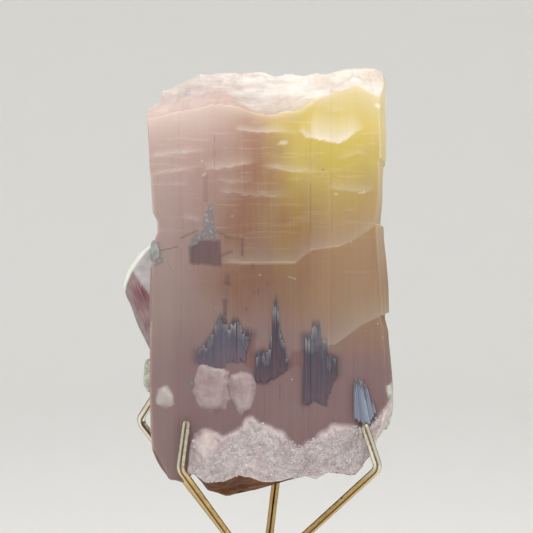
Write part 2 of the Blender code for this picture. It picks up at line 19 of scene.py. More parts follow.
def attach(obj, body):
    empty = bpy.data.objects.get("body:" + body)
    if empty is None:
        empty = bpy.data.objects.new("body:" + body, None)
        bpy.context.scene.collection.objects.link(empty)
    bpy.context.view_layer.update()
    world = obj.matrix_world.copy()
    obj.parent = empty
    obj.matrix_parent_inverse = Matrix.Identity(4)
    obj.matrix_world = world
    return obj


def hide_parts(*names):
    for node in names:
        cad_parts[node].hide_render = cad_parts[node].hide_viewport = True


# Camera, at the photograph's viewing angle
CAMERA_PLACE = (0.00146, -0.344, 0.1079)
CAMERA_LENS = 105.5
CAMERA_SENSOR = 36.0

# Studio
SWEEP_FLAT = 0.9
SWEEP_CURVE = 0.5
SWEEP_HEIGHT = 1.2
SWEEP_SIDES = 96
SWEEP_FLAT_RINGS = 8
SWEEP_CURVE_RINGS = 24
FLOOR_COLOUR = (0.84, 0.835, 0.82, 1.0)
FLOOR_ROUGHNESS = 0.9
AIR_COLOUR = (1.0, 0.99, 0.975, 1.0)
AIR_STRENGTH = 0.95

# Soft lights: place, aim, size, power
LIGHTS = {
    "top light": ((0.0, -0.20, 0.34), (0.0, 0.0, 0.13), (0.22, 0.14), 0.45),
    "key light": ((-0.30, -0.46, 0.40), (0.0, 0.0, 0.11), (0.25, 0.25), 0.5),
    "fill light": ((0.38, -0.30, 0.28), (0.0, 0.0, 0.11), (0.25, 0.25), 0.45),
}

# Outline of the crystal from the front: (height, x) of its side edges, (x, height) of its ends
SPECIMEN_X = 0.0010
FRONT_PLANE = -0.0140
THICKNESS = 0.0255
NOMINAL_LEFT = -0.0240
NOMINAL_RIGHT = 0.0255
LEFT_EDGE = (
    (0.0668, -0.0228), (0.0693, -0.0234), (0.0735, -0.0238), (0.0904, -0.0239), (0.1125, -0.0235),
    (0.1151, -0.0226), (0.1174, -0.0226), (0.1193, -0.0236), (0.1294, -0.0242), (0.1404, -0.0245),
)
RIGHT_EDGE = (
    (0.0672, 0.0233), (0.0708, 0.0243), (0.0742, 0.0265), (0.0778, 0.0277), (0.0820, 0.0278),
    (0.0942, 0.0269), (0.0967, 0.0262), (0.1041, 0.0258), (0.1136, 0.0248), (0.1167, 0.0248),
    (0.1220, 0.0254), (0.1326, 0.0257), (0.1482, 0.0255),
)
TOP_EDGE = (
    (-0.0245, 0.1401), (-0.0243, 0.1408), (-0.0232, 0.1417), (-0.0221, 0.1426), (-0.0213, 0.1434),
    (-0.0213, 0.1452), (-0.0189, 0.1462), (-0.0168, 0.1475), (-0.0136, 0.1488), (-0.0050, 0.1492),
    (0.0002, 0.1496), (0.0023, 0.1490), (0.0086, 0.1488), (0.0156, 0.1496), (0.0205, 0.1504),
    (0.0232, 0.1502), (0.0250, 0.1496), (0.0255, 0.1482),
)
FOOT_EDGE = (
    (-0.0239, 0.0690), (-0.0231, 0.0670), (-0.0206, 0.0622), (-0.0178, 0.0620), (-0.0152, 0.0641),
    (-0.0123, 0.0620), (-0.0083, 0.0624), (-0.0053, 0.0636), (0.0006, 0.0623), (0.0088, 0.0633),
    (0.0111, 0.0631), (0.0135, 0.0642), (0.0204, 0.0637), (0.0217, 0.0649), (0.0236, 0.0677),
)
EDGE_SHIFT_REACH = 0.2

# Plan section: share of the width, shift in x, depth behind the front plane, spacing of columns
SECTION = (
    (0.00, 0.0000, 0.0000, 0.00030),
    (1.00, -0.0014, 0.0000, 0.00030),
    (1.00, 0.0000, 0.0022, 0.00050),
    (1.00, -0.0006, 0.0180, 0.00070),
    (1.00, -0.0062, 0.0242, 0.00090),
    (0.57, 0.0000, 0.0255, 0.00050),
    (0.54, 0.0000, 0.0230, 0.00090),
    (0.24, 0.0000, 0.0238, 0.00080),
    (0.00, 0.0010, 0.0165, 0.00055),
)
SPINE = ((-0.0130, -0.0015), (0.0140, -0.0015))
TOP_RINGS = 42
FOOT_RINGS = 22
INNER_RING = 0.03
ROW_SPACING = 0.00036
EDGE_WEAR = 0.00016
EDGE_WEAR_DEPTH = 0.35
BODY_SHARP_ANGLE = 40.0

# Vertical steps of the front face, and how proud each strip between them stands
FRONT_STEPS = (-0.0176, -0.0108, -0.0052, 0.0013, 0.0097, 0.0139, 0.0196)
FRONT_STEP_OFFSETS = (0.0, 0.00012, 0.0, -0.00014, 0.00002, 0.00018, 0.0, -0.00012)

# Growth ledges, (x, height) across the front face, and how proud each layer between them stands
LOWER_LEDGE = (
    (-0.0240, 0.0963), (-0.0135, 0.0955), (-0.0029, 0.0929), (0.0076, 0.0904), (0.0150, 0.0915),
    (0.0202, 0.0957), (0.0270, 0.0988),
)
MIDDLE_LEDGE = (
    (-0.0240, 0.1077), (-0.0103, 0.1085), (0.0065, 0.1087), (0.0101, 0.1115), (0.0160, 0.1123),
    (0.0202, 0.1142), (0.0249, 0.1174),
)
UPPER_LEDGE = (
    (-0.0245, 0.1271), (-0.0166, 0.1288), (-0.0107, 0.1298), (-0.0040, 0.1283), (-0.0004, 0.1296),
    (0.0076, 0.1279), (0.0139, 0.1279), (0.0202, 0.1300), (0.0255, 0.1309),
)
LEDGES = (LOWER_LEDGE, MIDDLE_LEDGE, UPPER_LEDGE)
LEDGE_OFFSETS_FRONT = (0.00045, 0.00040, 0.00010, 0.00000)
LEDGE_OFFSETS_BACK = (-0.00040, 0.00050, -0.00020, 0.00020)
LEDGE_SOFTNESS = 0.00018
LEDGE_RUN_OUT = 0.0040
LEDGE_SHARP_FROM = ((0.0030, 0.0110), (-0.0110, -0.0040), (-0.0300, -0.0290))
LEDGE_VEILS = (
    (MIDDLE_LEDGE, 0.0022, 0.30, (-0.0110, -0.0060)),
    (LOWER_LEDGE, 0.0046, 0.34, (0.0040, 0.0160)),
)

# Frost on the faces: at the left edge, on the sides, towards the broken top; pairs (x, reach)
LEFT_FROST = 0.10
LEFT_FROST_FROM = (0.0170, 0.0215)
EDGE_PALENESS = 0.35
EDGE_PALE_FROM = (0.0950, 0.1250)
SIDES_PALENESS = 0.4
TOP_BLEND = ((-0.0120, 0.0042), (0.0010, 0.0004))
TOP_FADE = 0.45
TOP_RIM_PALENESS = 0.22
TOP_BRIGHT_SLANT = 0.35
TOP_BRIGHT_FROM = (0.1415, 0.1475)
TOP_FADE_REACH = (
    (-0.0245, 0.0048), (-0.0100, 0.0040), (0.0020, 0.0014), (0.0100, 0.0010), (0.0160, 0.0044),
    (0.0255, 0.0064),
)

# Broken top
CHIP_LINE = (
    (-0.0245, 0.1393), (-0.0212, 0.1399), (-0.0160, 0.1412), (-0.0108, 0.1421), (-0.0060, 0.1412),
    (-0.0015, 0.1403), (0.0022, 0.1400), (0.0073, 0.1410), (0.0099, 0.1423), (0.0145, 0.1442),
    (0.0192, 0.1458), (0.0223, 0.1446), (0.0255, 0.1428),
)
CHIP_SLOPE = 1.5
CHIP_WANDER_FROM = 0.0015
CHIP_TREAD = 0.0021
CHIP_TREAD_START = 0.35
CHIP_STAIR_SHARE = 0.45
PLATEAU_SINKS = (-0.0060, 0.0115)
PLATEAU_SINK = 0.0048
TOP_LIMIT = 0.1502
SCOOP_CENTRE = (0.0152, -0.0158, 0.1392)
SCOOP_HALF_SIZE = (0.0080, 0.0026, 0.0072)

# Broken foot
LOBE_CENTRE = (-0.0070, -0.0015)
LOBE_REACH = (0.0078, 0.0070)
LOBE_SAG = 0.0050
BACK_SAG = 0.0009
BACK_SAG_FROM = (-0.015, 0.0)
LEFT_RISE = 0.0035
LEFT_RISE_FROM = (0.008, 0.020)
RIM_DEPTH = 0.0026
RIM_RISE = 0.0004

# Granular crust over the foot of the front face
CRUST_LINE = (
    (-0.0245, 0.0600), (-0.0170, 0.0620), (-0.0155, 0.0710), (-0.0120, 0.0730), (-0.0088, 0.0715),
    (-0.0045, 0.0745), (-0.0025, 0.0760), (0.0025, 0.0730), (0.0075, 0.0700), (0.0110, 0.0718),
    (0.0140, 0.0735), (0.0160, 0.0738), (0.0215, 0.0748), (0.0236, 0.0778), (0.0262, 0.0830),
)
CRUST_EDGE = 0.0009
CRUST_THICKNESS = 0.00085
CRUST_CELL = 0.00105
CRUST_CELL_RISE = 0.00055

# Pale lobes on the front face: how proud, outline (x, height)
LOBES = (
    (0.0013, ((-0.0136, 0.0877), (-0.0110, 0.0873), (-0.0089, 0.0865), (-0.0074, 0.0856),
              (-0.0077, 0.0828), (-0.0072, 0.0800), (-0.0081, 0.0780), (-0.0110, 0.0774),
              (-0.0136, 0.0784), (-0.0151, 0.0814), (-0.0144, 0.0848))),
    (0.0013, ((-0.0072, 0.0850), (-0.0051, 0.0860), (-0.0028, 0.0850), (-0.0018, 0.0834),
              (-0.0020, 0.0801), (-0.0028, 0.0777), (-0.0047, 0.0765), (-0.0066, 0.0788),
              (-0.0076, 0.0822))),
    (0.0015, ((-0.0150, 0.0725), (-0.0125, 0.0742), (-0.0100, 0.0728), (-0.0090, 0.0704),
              (-0.0102, 0.0676), (-0.0128, 0.0664), (-0.0152, 0.0684))),
    (0.0009, ((-0.0229, 0.0790), (-0.0226, 0.0822), (-0.0212, 0.0828), (-0.0194, 0.0812),
              (-0.0192, 0.0790), (-0.0208, 0.0776))),
)
LOBE_EDGE = 0.0011
LOBE_COVER_FROM = (-0.00010, 0.00025)

# Shell-shaped breaks across the front face: line (x, height), fade above it, depth, paleness
BREAKS = (
    (((0.0098, 0.1362), (0.0104, 0.1352), (0.0122, 0.1347), (0.0152, 0.1342), (0.0172, 0.1347),
      (0.0190, 0.1362), (0.0206, 0.1372), (0.0225, 0.1370)), 0.0036, 0.00012, 0.90),
    (((0.0078, 0.1364), (0.0088, 0.1353), (0.0104, 0.1352), (0.0116, 0.1352)),
     0.0012, 0.00010, 0.80),
    (((-0.0060, 0.1370), (-0.0013, 0.1362), (0.0040, 0.1365), (0.0078, 0.1358)),
     0.0016, 0.00014, 0.45),
    (((-0.0236, 0.1312), (-0.0190, 0.1318), (-0.0140, 0.1322), (-0.0106, 0.1331)),
     0.0011, 0.00012, 0.40),
    (((-0.0233, 0.1278), (-0.0185, 0.1281), (-0.0142, 0.1284)), 0.0010, 0.00008, 0.30),
    (((-0.0122, 0.1284), (-0.0070, 0.1290), (-0.0003, 0.1300)), 0.0013, 0.00014, 0.42),
    (((0.0010, 0.1288), (0.0060, 0.1282), (0.0086, 0.1280), (0.0128, 0.1283)), 0.0008, 0.00012, 0.40),
    (((-0.0092, 0.1238), (-0.0020, 0.1229), (0.0084, 0.1226)), 0.0010, 0.00010, 0.26),
    (((0.0140, 0.1244), (0.0180, 0.1240), (0.0215, 0.1238), (0.0250, 0.1246)), 0.0012, 0.00010, 0.34),
    (((-0.0170, 0.1180), (-0.0125, 0.1174)), 0.0007, 0.00006, 0.30),
    (((-0.0230, 0.1256), (-0.0190, 0.1251), (-0.0150, 0.1254)), 0.0008, 0.00006, 0.20),
    (((0.0160, 0.1306), (0.0196, 0.1318), (0.0230, 0.1312)), 0.0010, 0.00008, 0.26),
    (((-0.0095, 0.1262), (-0.0050, 0.1258), (-0.0010, 0.1261)), 0.0007, 0.00006, 0.20),
)
BREAK_START = 0.0012
BREAK_RUN_OUT = 0.45
BREAK_EDGE = 0.00022
BREAK_WANDER = (0.00035, 0.0013)

# Colours seen through the front face, by kind: strength, outline (x, height)
PATCH_EDGE = 0.00030
PATCHES = {
    "slate": (
        (0.80, ((-0.0136, 0.1138), (-0.0128, 0.1165), (-0.0124, 0.1196), (-0.0118, 0.1211),
                (-0.0110, 0.1208), (-0.0107, 0.1180), (-0.0101, 0.1150), (-0.0094, 0.1138))),
        (0.75, ((-0.0160, 0.1110), (-0.0158, 0.1136), (-0.0140, 0.1150), (-0.0125, 0.1140),
                (-0.0126, 0.1112))),
        (0.70, ((-0.0238, 0.1080), (-0.0238, 0.1126), (-0.0228, 0.1132), (-0.0222, 0.1112),
                (-0.0215, 0.1086))),
        (0.75, ((-0.0159, 0.0816), (-0.0159, 0.0842), (-0.0150, 0.0848), (-0.0150, 0.0820))),
        (0.45, ((-0.0187, 0.1442), (-0.0180, 0.1454), (-0.0158, 0.1456), (-0.0157, 0.1443))),
    ),
    "plum": (
        (0.95, ((-0.0159, 0.1085), (-0.0160, 0.1120), (-0.0130, 0.1136), (-0.0093, 0.1134),
                (-0.0091, 0.1079), (-0.0108, 0.1080), (-0.0125, 0.1082))),
    ),
    "wine": (
        (0.70, ((-0.0041, 0.0866), (-0.0041, 0.0936), (-0.0020, 0.0936), (-0.0020, 0.0866))),
        (0.55, ((0.0052, 0.0868), (0.0056, 0.0898), (0.0086, 0.0898), (0.0086, 0.0868))),
    ),
    "white": (
        (0.90, ((0.0240, 0.0812), (0.0238, 0.0826), (0.0252, 0.0832), (0.0257, 0.0848),
                (0.0262, 0.0832), (0.0274, 0.0828), (0.0268, 0.0810))),
        (0.60, ((-0.0229, 0.0790), (-0.0225, 0.0822), (-0.0205, 0.0826), (-0.0193, 0.0806),
                (-0.0200, 0.0786))),
        (0.45, ((0.0029, 0.1339), (0.0034, 0.1345), (0.0048, 0.1344), (0.0050, 0.1339),
                (0.0040, 0.1336))),
        (0.80, ((0.0235, 0.1416), (0.0237, 0.1424), (0.0244, 0.1423), (0.0243, 0.1416))),
    ),
}

# Thin marks seen through the front face, by kind: strength, half width, start, end (x, height)
STROKES = {
    "slate": (
        (0.45, 0.00030, (-0.0083, 0.1036), (-0.0083, 0.1010)),
    ),
    "plum": (
        (0.75, 0.00026, (-0.0047, 0.1139), (-0.0047, 0.1101)),
        (0.30, 0.00045, (-0.0124, 0.1274), (-0.0124, 0.1214)),
        (0.45, 0.00060, (-0.0078, 0.1062), (-0.0078, 0.1046)),
        (0.80, 0.00040, (-0.0086, 0.1046), (-0.0070, 0.1042)),
        (0.75, 0.00042, (-0.0083, 0.1010), (-0.0083, 0.0976)),
        (0.60, 0.00028, (-0.0024, 0.1086), (-0.0024, 0.1076)),
        (0.50, 0.00024, (-0.0043, 0.1050), (-0.0043, 0.1042)),
        (0.50, 0.00026, (-0.0013, 0.1032), (-0.0013, 0.1022)),
        (0.50, 0.00022, (0.0006, 0.1046), (0.0006, 0.1038)),
        (0.55, 0.00034, (-0.0040, 0.0990), (-0.0036, 0.0987)),
        (0.45, 0.00024, (-0.0022, 0.1028), (-0.0022, 0.1020)),
        (0.40, 0.00016, (0.0033, 0.0832), (0.0033, 0.0800)),
    ),
    "white": (
        (0.30, 0.00030, (-0.0130, 0.1271), (-0.0124, 0.1275)),
        (0.35, 0.00012, (-0.0012, 0.1061), (-0.0006, 0.1062)),
        (0.38, 0.00014, (0.0052, 0.1057), (0.0066, 0.1052)),
        (0.45, 0.00014, (0.0148, 0.1232), (0.0155, 0.1232)),
        (0.50, 0.00016, (0.0198, 0.1234), (0.0213, 0.1236)),
    ),
    "brown": (
        (0.50, 0.00024, (-0.0178, 0.1138), (-0.0138, 0.1156)),
        (0.45, 0.00030, (-0.0102, 0.1154), (-0.0070, 0.1138)),
        (0.40, 0.00020, (-0.0084, 0.1140), (-0.0050, 0.1136)),
        (0.60, 0.00030, (-0.0091, 0.1102), (-0.0066, 0.1112)),
        (0.50, 0.00016, (-0.0220, 0.1112), (-0.0182, 0.1121)),
        (0.40, 0.00008, (-0.0206, 0.1092), (-0.0194, 0.1068)),
        (0.60, 0.00022, (0.0122, 0.1283), (0.0127, 0.1283)),
        (0.20, 0.00009, (0.0098, 0.1403), (0.0098, 0.1255)),
        (0.50, 0.00010, (0.0098, 0.1255), (0.0098, 0.1146)),
        (0.16, 0.00008, (0.0141, 0.1443), (0.0141, 0.1232)),
        (0.50, 0.00008, (-0.0105, 0.1357), (-0.0105, 0.1343)),
        (0.50, 0.00008, (-0.0105, 0.1325), (-0.0105, 0.1312)),
        (0.50, 0.00008, (-0.0105, 0.1300), (-0.0105, 0.1287)),
    ),
}
STROKE_EDGE = 0.00010
STROKE_RAGGED = (0.0003, 0.0, 0.0006)
STROKE_RAGGED_SCALE = 1500.0

# Blade sprays: needles, blueness, how proud, lean of the first and last, top and foot line
SPRAYS = {
    "left_spray": (34, 0.16, 0.00030, (0.0, 0.0), (
        (-0.0136, 0.0903), (-0.0125, 0.0917), (-0.0110, 0.0938), (-0.0100, 0.0962), (-0.0094, 0.0974),
        (-0.0081, 0.0972), (-0.0075, 0.0945), (-0.0068, 0.0968), (-0.0054, 0.0966), (-0.0047, 0.0945),
        (-0.0032, 0.0943),
    ), (
        (-0.0136, 0.0877), (-0.0110, 0.0871), (-0.0089, 0.0867), (-0.0080, 0.0886), (-0.0043, 0.0886),
        (-0.0032, 0.0928),
    )),
    "middle_spray": (24, 0.02, 0.00030, (0.0, 0.0), (
        (-0.0015, 0.0898), (-0.0003, 0.0903), (0.0008, 0.0898), (0.0014, 0.0924), (0.0018, 0.0998),
        (0.0027, 0.1017), (0.0033, 0.0945), (0.0042, 0.0917), (0.0048, 0.0881),
    ), (
        (-0.0015, 0.0843), (0.0000, 0.0840), (0.0020, 0.0850), (0.0033, 0.0855), (0.0048, 0.0866),
    )),
    "right_spray": (26, 0.08, 0.00045, (0.0, 0.0), (
        (0.0087, 0.0936), (0.0099, 0.0936), (0.0101, 0.0960), (0.0117, 0.0960), (0.0119, 0.0924),
        (0.0132, 0.0924), (0.0134, 0.0896), (0.0149, 0.0890),
    ), (
        (0.0087, 0.0790), (0.0100, 0.0800), (0.0120, 0.0798), (0.0130, 0.0791), (0.0138, 0.0822),
        (0.0149, 0.0846),
    )),
    "corner_spray": (22, 0.9, 0.00110, (-0.03, -0.24), (
        (0.0190, 0.0832), (0.0200, 0.0846), (0.0212, 0.0846), (0.0228, 0.0834), (0.0234, 0.0790),
    ), (
        (0.0190, 0.0766), (0.0210, 0.0752), (0.0226, 0.0758), (0.0234, 0.0776),
    )),
}
SPRAY_SEED = 11
SHADE_REACH = 0.0008
SHADE_SIDES = (-1.3, -0.8)
SHADE_ENDS = (-0.0012, 0.0006)
NEEDLE_OVERLAP = 2.3
NEEDLE_DEPTH = 0.0006
NEEDLE_BURIED = 0.43
NEEDLE_STANDS = (0.80, 1.0)
NEEDLE_WIDTHS = (0.7, 1.3)
NEEDLE_JITTER = (-0.4, 0.4)
NEEDLE_SLANTS = (-0.3, 0.3)
NEEDLE_TAPER = 0.55
NEEDLE_RAGGED = 0.0009

# Side crystal: the tip is (rise, share of the radius, shift along x) of each ring above the prism
SIDE_CRYSTAL_ROOT = Vector((-0.0124, -0.0012, 0.0784))
SIDE_CRYSTAL_AXIS = Vector((-0.41, 0.20, 0.885)).normalized()
SIDE_CRYSTAL_RADIUS = 0.0073
SIDE_CRYSTAL_LENGTH = 0.0286
SIDE_CRYSTAL_TURN = 0.52
SIDE_CRYSTAL_LEAN = SIDE_CRYSTAL_AXIS.to_track_quat("Z", "Y") @ Quaternion((0, 0, 1), SIDE_CRYSTAL_TURN)
SIDE_CRYSTAL_TIP = (
    (0.0030, 0.90, 0.0), (0.0026, 0.72, 0.0006), (0.0030, 0.58, 0.0026), (0.0024, 0.38, 0.0056),
)
SIDE_TIP_RISE = 0.0004
SIDE_TIP_SHARES = (0.8, 0.6, 0.4, 0.2, 0.05)
SIDE_CORNER_SHARE = 0.985
SIDE_SHARP_ANGLE = 30.0
SIDE_RING_SPACING = 0.00040
SIDE_SPANS = 20
SIDE_FACE_LINE = ((-0.0300, 0.1093), (-0.0236, 0.1008))
SIDE_PALE_FROM = (-0.0002, 0.0004)
SIDE_DEEP_SPOT = (-0.0258, 0.1016)
SIDE_DEEP_REACH = (0.0020, 0.0026)
SIDE_GREY_EDGE = ((-0.0308, 0.1022), (-0.0254, 0.0905))
SIDE_GREY_FROM = (-0.0022, -0.0004)
SIDE_RIM = (
    (-0.0220, 0.1149), (-0.0252, 0.1121), (-0.0272, 0.1096), (-0.0291, 0.1068), (-0.0303, 0.1040),
    (-0.0307, 0.1023),
)
SIDE_RIM_FROM = (-0.0010, -0.0003)

# Pale grains of the matrix that stand out of the edges: centre, half sizes
LUMPS = {
    "edge_lump": ((-0.0244, -0.0080, 0.0846), (0.0016, 0.0030, 0.0037)),
    "corner_lump": ((0.0258, -0.0085, 0.0780), (0.0018, 0.0050, 0.0050)),
    "corner_star": ((0.0255, -0.0128, 0.0812), (0.0016, 0.0012, 0.0018)),
    "edge_blade": ((-0.0230, -0.0128, 0.1110), (0.0012, 0.0018, 0.0028)),
}
SLATE_LUMP_FROM = (0.0980, 0.1060)
LUMP_SHARP_ANGLE = 60.0

# Sugary grains of the crust
CRUST_GRAINS = 4200
CRUST_GRAIN_SIZES = (0.00018, 0.00046)
CRUST_GRAIN_SPAN = (-0.0158, 0.0236)
CRUST_GRAIN_SUNK = 0.45
CRUST_GRAIN_LIFT = 1.4
CRUST_GRAIN_FRINGE = (-0.0008, 0.0002)
CRUST_GRAIN_SHAPES = 12
CRUST_GRAIN_CORNERS = 10
CRUST_GRAIN_RADII = (0.8, 1.0)
CRUST_SEED = 5

# Square brass wire stand
WIRE_SIDE = 0.0014
WIRE_EDGE_RADIUS = 0.00022
BEND_RADIUS = 0.0020
BEND_STEPS = 12
BEND_LONGEST_SHARE = 0.45
BUNDLE_OFFSET = 0.0012
BUNDLE_TOP = 0.0410
BUNDLE_FOOT = 0.0300
FOOT_BEND = 0.0260
FOOT_END = 0.0310
PRONG_TIP_SHARE = 0.55
PRONG_SHOULDER = 0.6 * WIRE_SIDE
PRONG_HEIGHTS = (0.0630, 0.0670)
WIRE_STEP = 0.00060
WIRE_SHARP_ANGLE = 50.0
WIRES = {
    "stand_wire_front_left": ((-1, -1), (-0.0166, -0.0173, 0.0655), (-0.0153, -0.0157, 0.0756)),
    "stand_wire_front_right": ((1, -1), (0.0249, -0.0178, 0.0658), (0.0219, -0.0166, 0.0748)),
    "stand_wire_back_left": ((-1, 1), (-0.0272, 0.0078, 0.0732), (-0.0226, 0.0022, 0.0803)),
    "stand_wire_back_right": ((1, 1), (0.0040, 0.0138, 0.0620), (0.0046, 0.0125, 0.0760)),
}

# Colour zones of the stone: where each starts and is full, in x or height
TAN_FROM = (-0.0140, -0.0030)
TAN_FOOT = (0.0900, 0.1050)
LEMON_FROM = (-0.0020, 0.0090)
LEMON_FOOT = (0.1120, 0.1330)
PEACH_FROM = (0.0040, 0.0150)
MUSTARD_MIDDLE = 0.0062
MUSTARD_REACH = 0.0050
MUSTARD_HEIGHTS = (0.0980, 0.1080, 0.1220, 0.1320)
MAUVE_TOP = (0.0870, 0.0990)
WISPS_FROM = (0.0980, 0.1150)
FOOT_ROSE_FROM = (-0.0140, -0.0170)
# Darkening towards the foot: partly the stone's deeper colour, partly painted shade for light from
# above
DEEPENING_AND_SHADE = (0.092, 0.138)
DEEPENING_AND_SHADE_POWER = 2.0
DEEPEST_AND_SHADED = 0.50
PALEST = 0.92
CRUST_DIMMED = 0.75


class Relief(NamedTuple):
    """Uneven ground whose bumps are about size across and rise and fall by up to height."""

    height: float
    size: float
    seed: float
    stretch: tuple = (1.0, 1.0, 1.0)

    def at(self, x, y, z):
        x, y, z = np.broadcast_arrays(x, y, z)
        spots = np.stack([x, y, z], axis=-1).reshape(-1, 3) / (self.size * np.array(self.stretch))
        spots = spots + self.seed * np.array((1.0, 1.7, -1.0))
        values = np.array([noise.noise(spot) for spot in spots.tolist()])
        return self.height * values.reshape(x.shape)


CHIP_RELIEF = Relief(0.0011, 0.0046, 5.0)
CHIP_EDGES = Relief(0.00030, 0.0011, 62.0)
CHIP_WANDER = Relief(0.0022, 0.0052, 63.0, (1.0, 0.5, 1.0))
PLATEAU_WAVE = Relief(0.0022, 0.011, 7.0)
PLATEAU_RELIEF = Relief(0.0006, 0.0038, 8.0)
FOOT_RELIEF = Relief(0.0006, 0.0036, 6.0)
BACK_LEDGE_RELIEF = Relief(0.0060, 0.020, 2.0)
SIDE_RELIEFS = (
    Relief(0.00035, 0.0018, 4.0, (1.0, 1.0, 12.0)),
    Relief(0.00010, 0.0040, 54.0, (1.0, 1.0, 2.0)),
)
FRONT_RELIEFS = (
    Relief(0.00005, 0.0013, 51.0, (1.0, 1.0, 26.0)),
    Relief(0.00003, 0.0006, 52.0, (1.0, 1.0, 30.0)),
    Relief(0.00012, 0.011, 53.0),
)
LOBE_RAGGED = Relief(0.0005, 0.0016, 31.0)
LOBE_BUMPS = (Relief(0.00030, 0.0022, 32.0), Relief(0.00012, 0.0008, 33.0))
CRUST_WANDER = Relief(0.0014, 0.0026, 41.0)
CRUST_LUMPS = (Relief(0.00045, 0.0042, 42.0), Relief(0.00035, 0.0019, 43.0))
PATCH_RAGGED_X = Relief(0.00025, 0.0010, 71.0, (1.0, 1.0, 4.0))
PATCH_RAGGED_Z = Relief(0.0004, 0.0009, 72.0, (1.0, 1.0, 6.0))
SIDE_CRYSTAL_RELIEFS = (
    Relief(0.0004, 0.0060, 9.0),
    Relief(0.00010, 0.0009, 19.0, (1.0, 1.0, 22.0)),
)
LUMP_BUMPS = ((0.20, 0.8, 10.0), (0.06, 0.22, 20.0))
WIRE_DENTS = Relief(0.00003, 0.0011, 81.0)


def along(curve, position):
    """Value of a broken line, given as (position, value) pairs, held flat past its ends."""
    places, values = zip(*curve)
    return np.interp(position, places, values)


def ramp(low, high, value):
    """0 up to low, 1 from high on, and smooth between them."""
    share = np.clip((value - low) / (high - low), 0.0, 1.0)
    return share * share * (3.0 - 2.0 * share)


def fading(above, reach):
    """1 on a line, less with the height above it, and 0 below it."""
    return np.where(above > 0.0, np.exp(-np.maximum(above, 0.0) / reach), 0.0)


def total(reliefs, x, y, z):
    """Several kinds of uneven ground, one on the other."""
    return sum(relief.at(x, y, z) for relief in reliefs)


def hump(middle, reach, value):
    """1 at the middle, and less on both sides of it."""
    return np.exp(-(((value - middle) / reach) ** 2))


# Heights of the broken ends and of the ledges, seen in plan
def top_height(x, y):
    behind = ramp(*PLATEAU_SINKS, y)
    plateau = along(TOP_EDGE, x) + PLATEAU_RELIEF.at(x, y, 0.0)
    plateau = plateau - behind * (PLATEAU_SINK + PLATEAU_WAVE.at(x, y, 0.0))
    climb = np.maximum(0.0, y - FRONT_PLANE) * CHIP_SLOPE
    climb = np.maximum(0.0, climb + CHIP_WANDER.at(x, y, 0.0) * ramp(0.0, CHIP_WANDER_FROM, climb))
    whole = np.floor(climb / CHIP_TREAD)
    stairs = CHIP_TREAD * (whole + ramp(CHIP_TREAD_START, 1.0, climb / CHIP_TREAD - whole))
    rise = CHIP_STAIR_SHARE * stairs + (1.0 - CHIP_STAIR_SHARE) * climb
    broken = np.minimum(plateau, along(CHIP_LINE, x) + rise + CHIP_RELIEF.at(x, y, 0.0))
    return np.minimum(broken + CHIP_EDGES.at(x, y, 0.0), TOP_LIMIT)


def foot_height(x, y):
    lobe = hump(LOBE_CENTRE[0], LOBE_REACH[0], x) * hump(LOBE_CENTRE[1], LOBE_REACH[1], y)
    behind = ramp(FRONT_PLANE, PLATEAU_SINKS[1], y)
    rim = np.maximum(0.0, 1.0 - (y - FRONT_PLANE) / RIM_DEPTH)
    rise = LEFT_RISE * behind * ramp(*LEFT_RISE_FROM, -x) + RIM_RISE * rim * rim
    sag = LOBE_SAG * lobe + BACK_SAG * behind * ramp(*BACK_SAG_FROM, x)
    return along(FOOT_EDGE, x) - sag + rise + FOOT_RELIEF.at(x, y, 0.0)


def ledge_height(line, x, y):
    share = np.clip((y - FRONT_PLANE) / THICKNESS, 0.0, 1.0)
    back = along(line, -x) + BACK_LEDGE_RELIEF.at(x, 0.0, along(line, 0.0))
    return along(line, x) * (1.0 - share) + back * share


def edge_shift(x, z):
    """Sideways shift that gives the side edges their outline and fades towards the middle."""
    share = (x - NOMINAL_LEFT) / (NOMINAL_RIGHT - NOMINAL_LEFT)
    left = (along(LEFT_EDGE, z) - NOMINAL_LEFT) * np.maximum(0.0, 1.0 - share / EDGE_SHIFT_REACH)
    right = along(RIGHT_EDGE, z) - NOMINAL_RIGHT
    return left + right * np.maximum(0.0, 1.0 - (1.0 - share) / EDGE_SHIFT_REACH)


# The crystal's grid: columns round its plan, rings from the foot's middle to the top's middle
class Columns(NamedTuple):
    x: np.ndarray
    y: np.ndarray
    normal_x: np.ndarray
    normal_y: np.ndarray
    front: np.ndarray
    veiled: np.ndarray


def plan_columns():
    """Columns round the plan section, anticlockwise from above, close together at its edges."""
    width = NOMINAL_RIGHT - NOMINAL_LEFT
    corners = [
        Vector((NOMINAL_LEFT + share * width + shift, FRONT_PLANE + depth))
        for share, shift, depth, _ in SECTION
    ]
    sides = list(zip(corners, [*corners[1:], corners[0]], SECTION))
    normals = [Vector(((end - start).y, -(end - start).x)).normalized() for start, end, _ in sides]
    rows = []
    for index, (start, end, (_, _, _, spacing)) in enumerate(sides):
        length = (end - start).length
        wear = EDGE_WEAR / length
        corner_normal = (normals[index - 1] + normals[index]).normalized()
        worn = start - corner_normal * EDGE_WEAR * EDGE_WEAR_DEPTH
        rows.append((*worn, *corner_normal, index == 0, index < 2))
        spans = max(2, round(length * (1.0 - 2.0 * wear) / spacing))
        for n in range(spans + 1):
            spot = start.lerp(end, wear + (1.0 - 2.0 * wear) * n / spans)
            rows.append((*spot, *normals[index], index == 0, index < 2))
    table = np.array(rows, float)
    return Columns(*table.T[:4], *(table.T[4:] > 0.5))


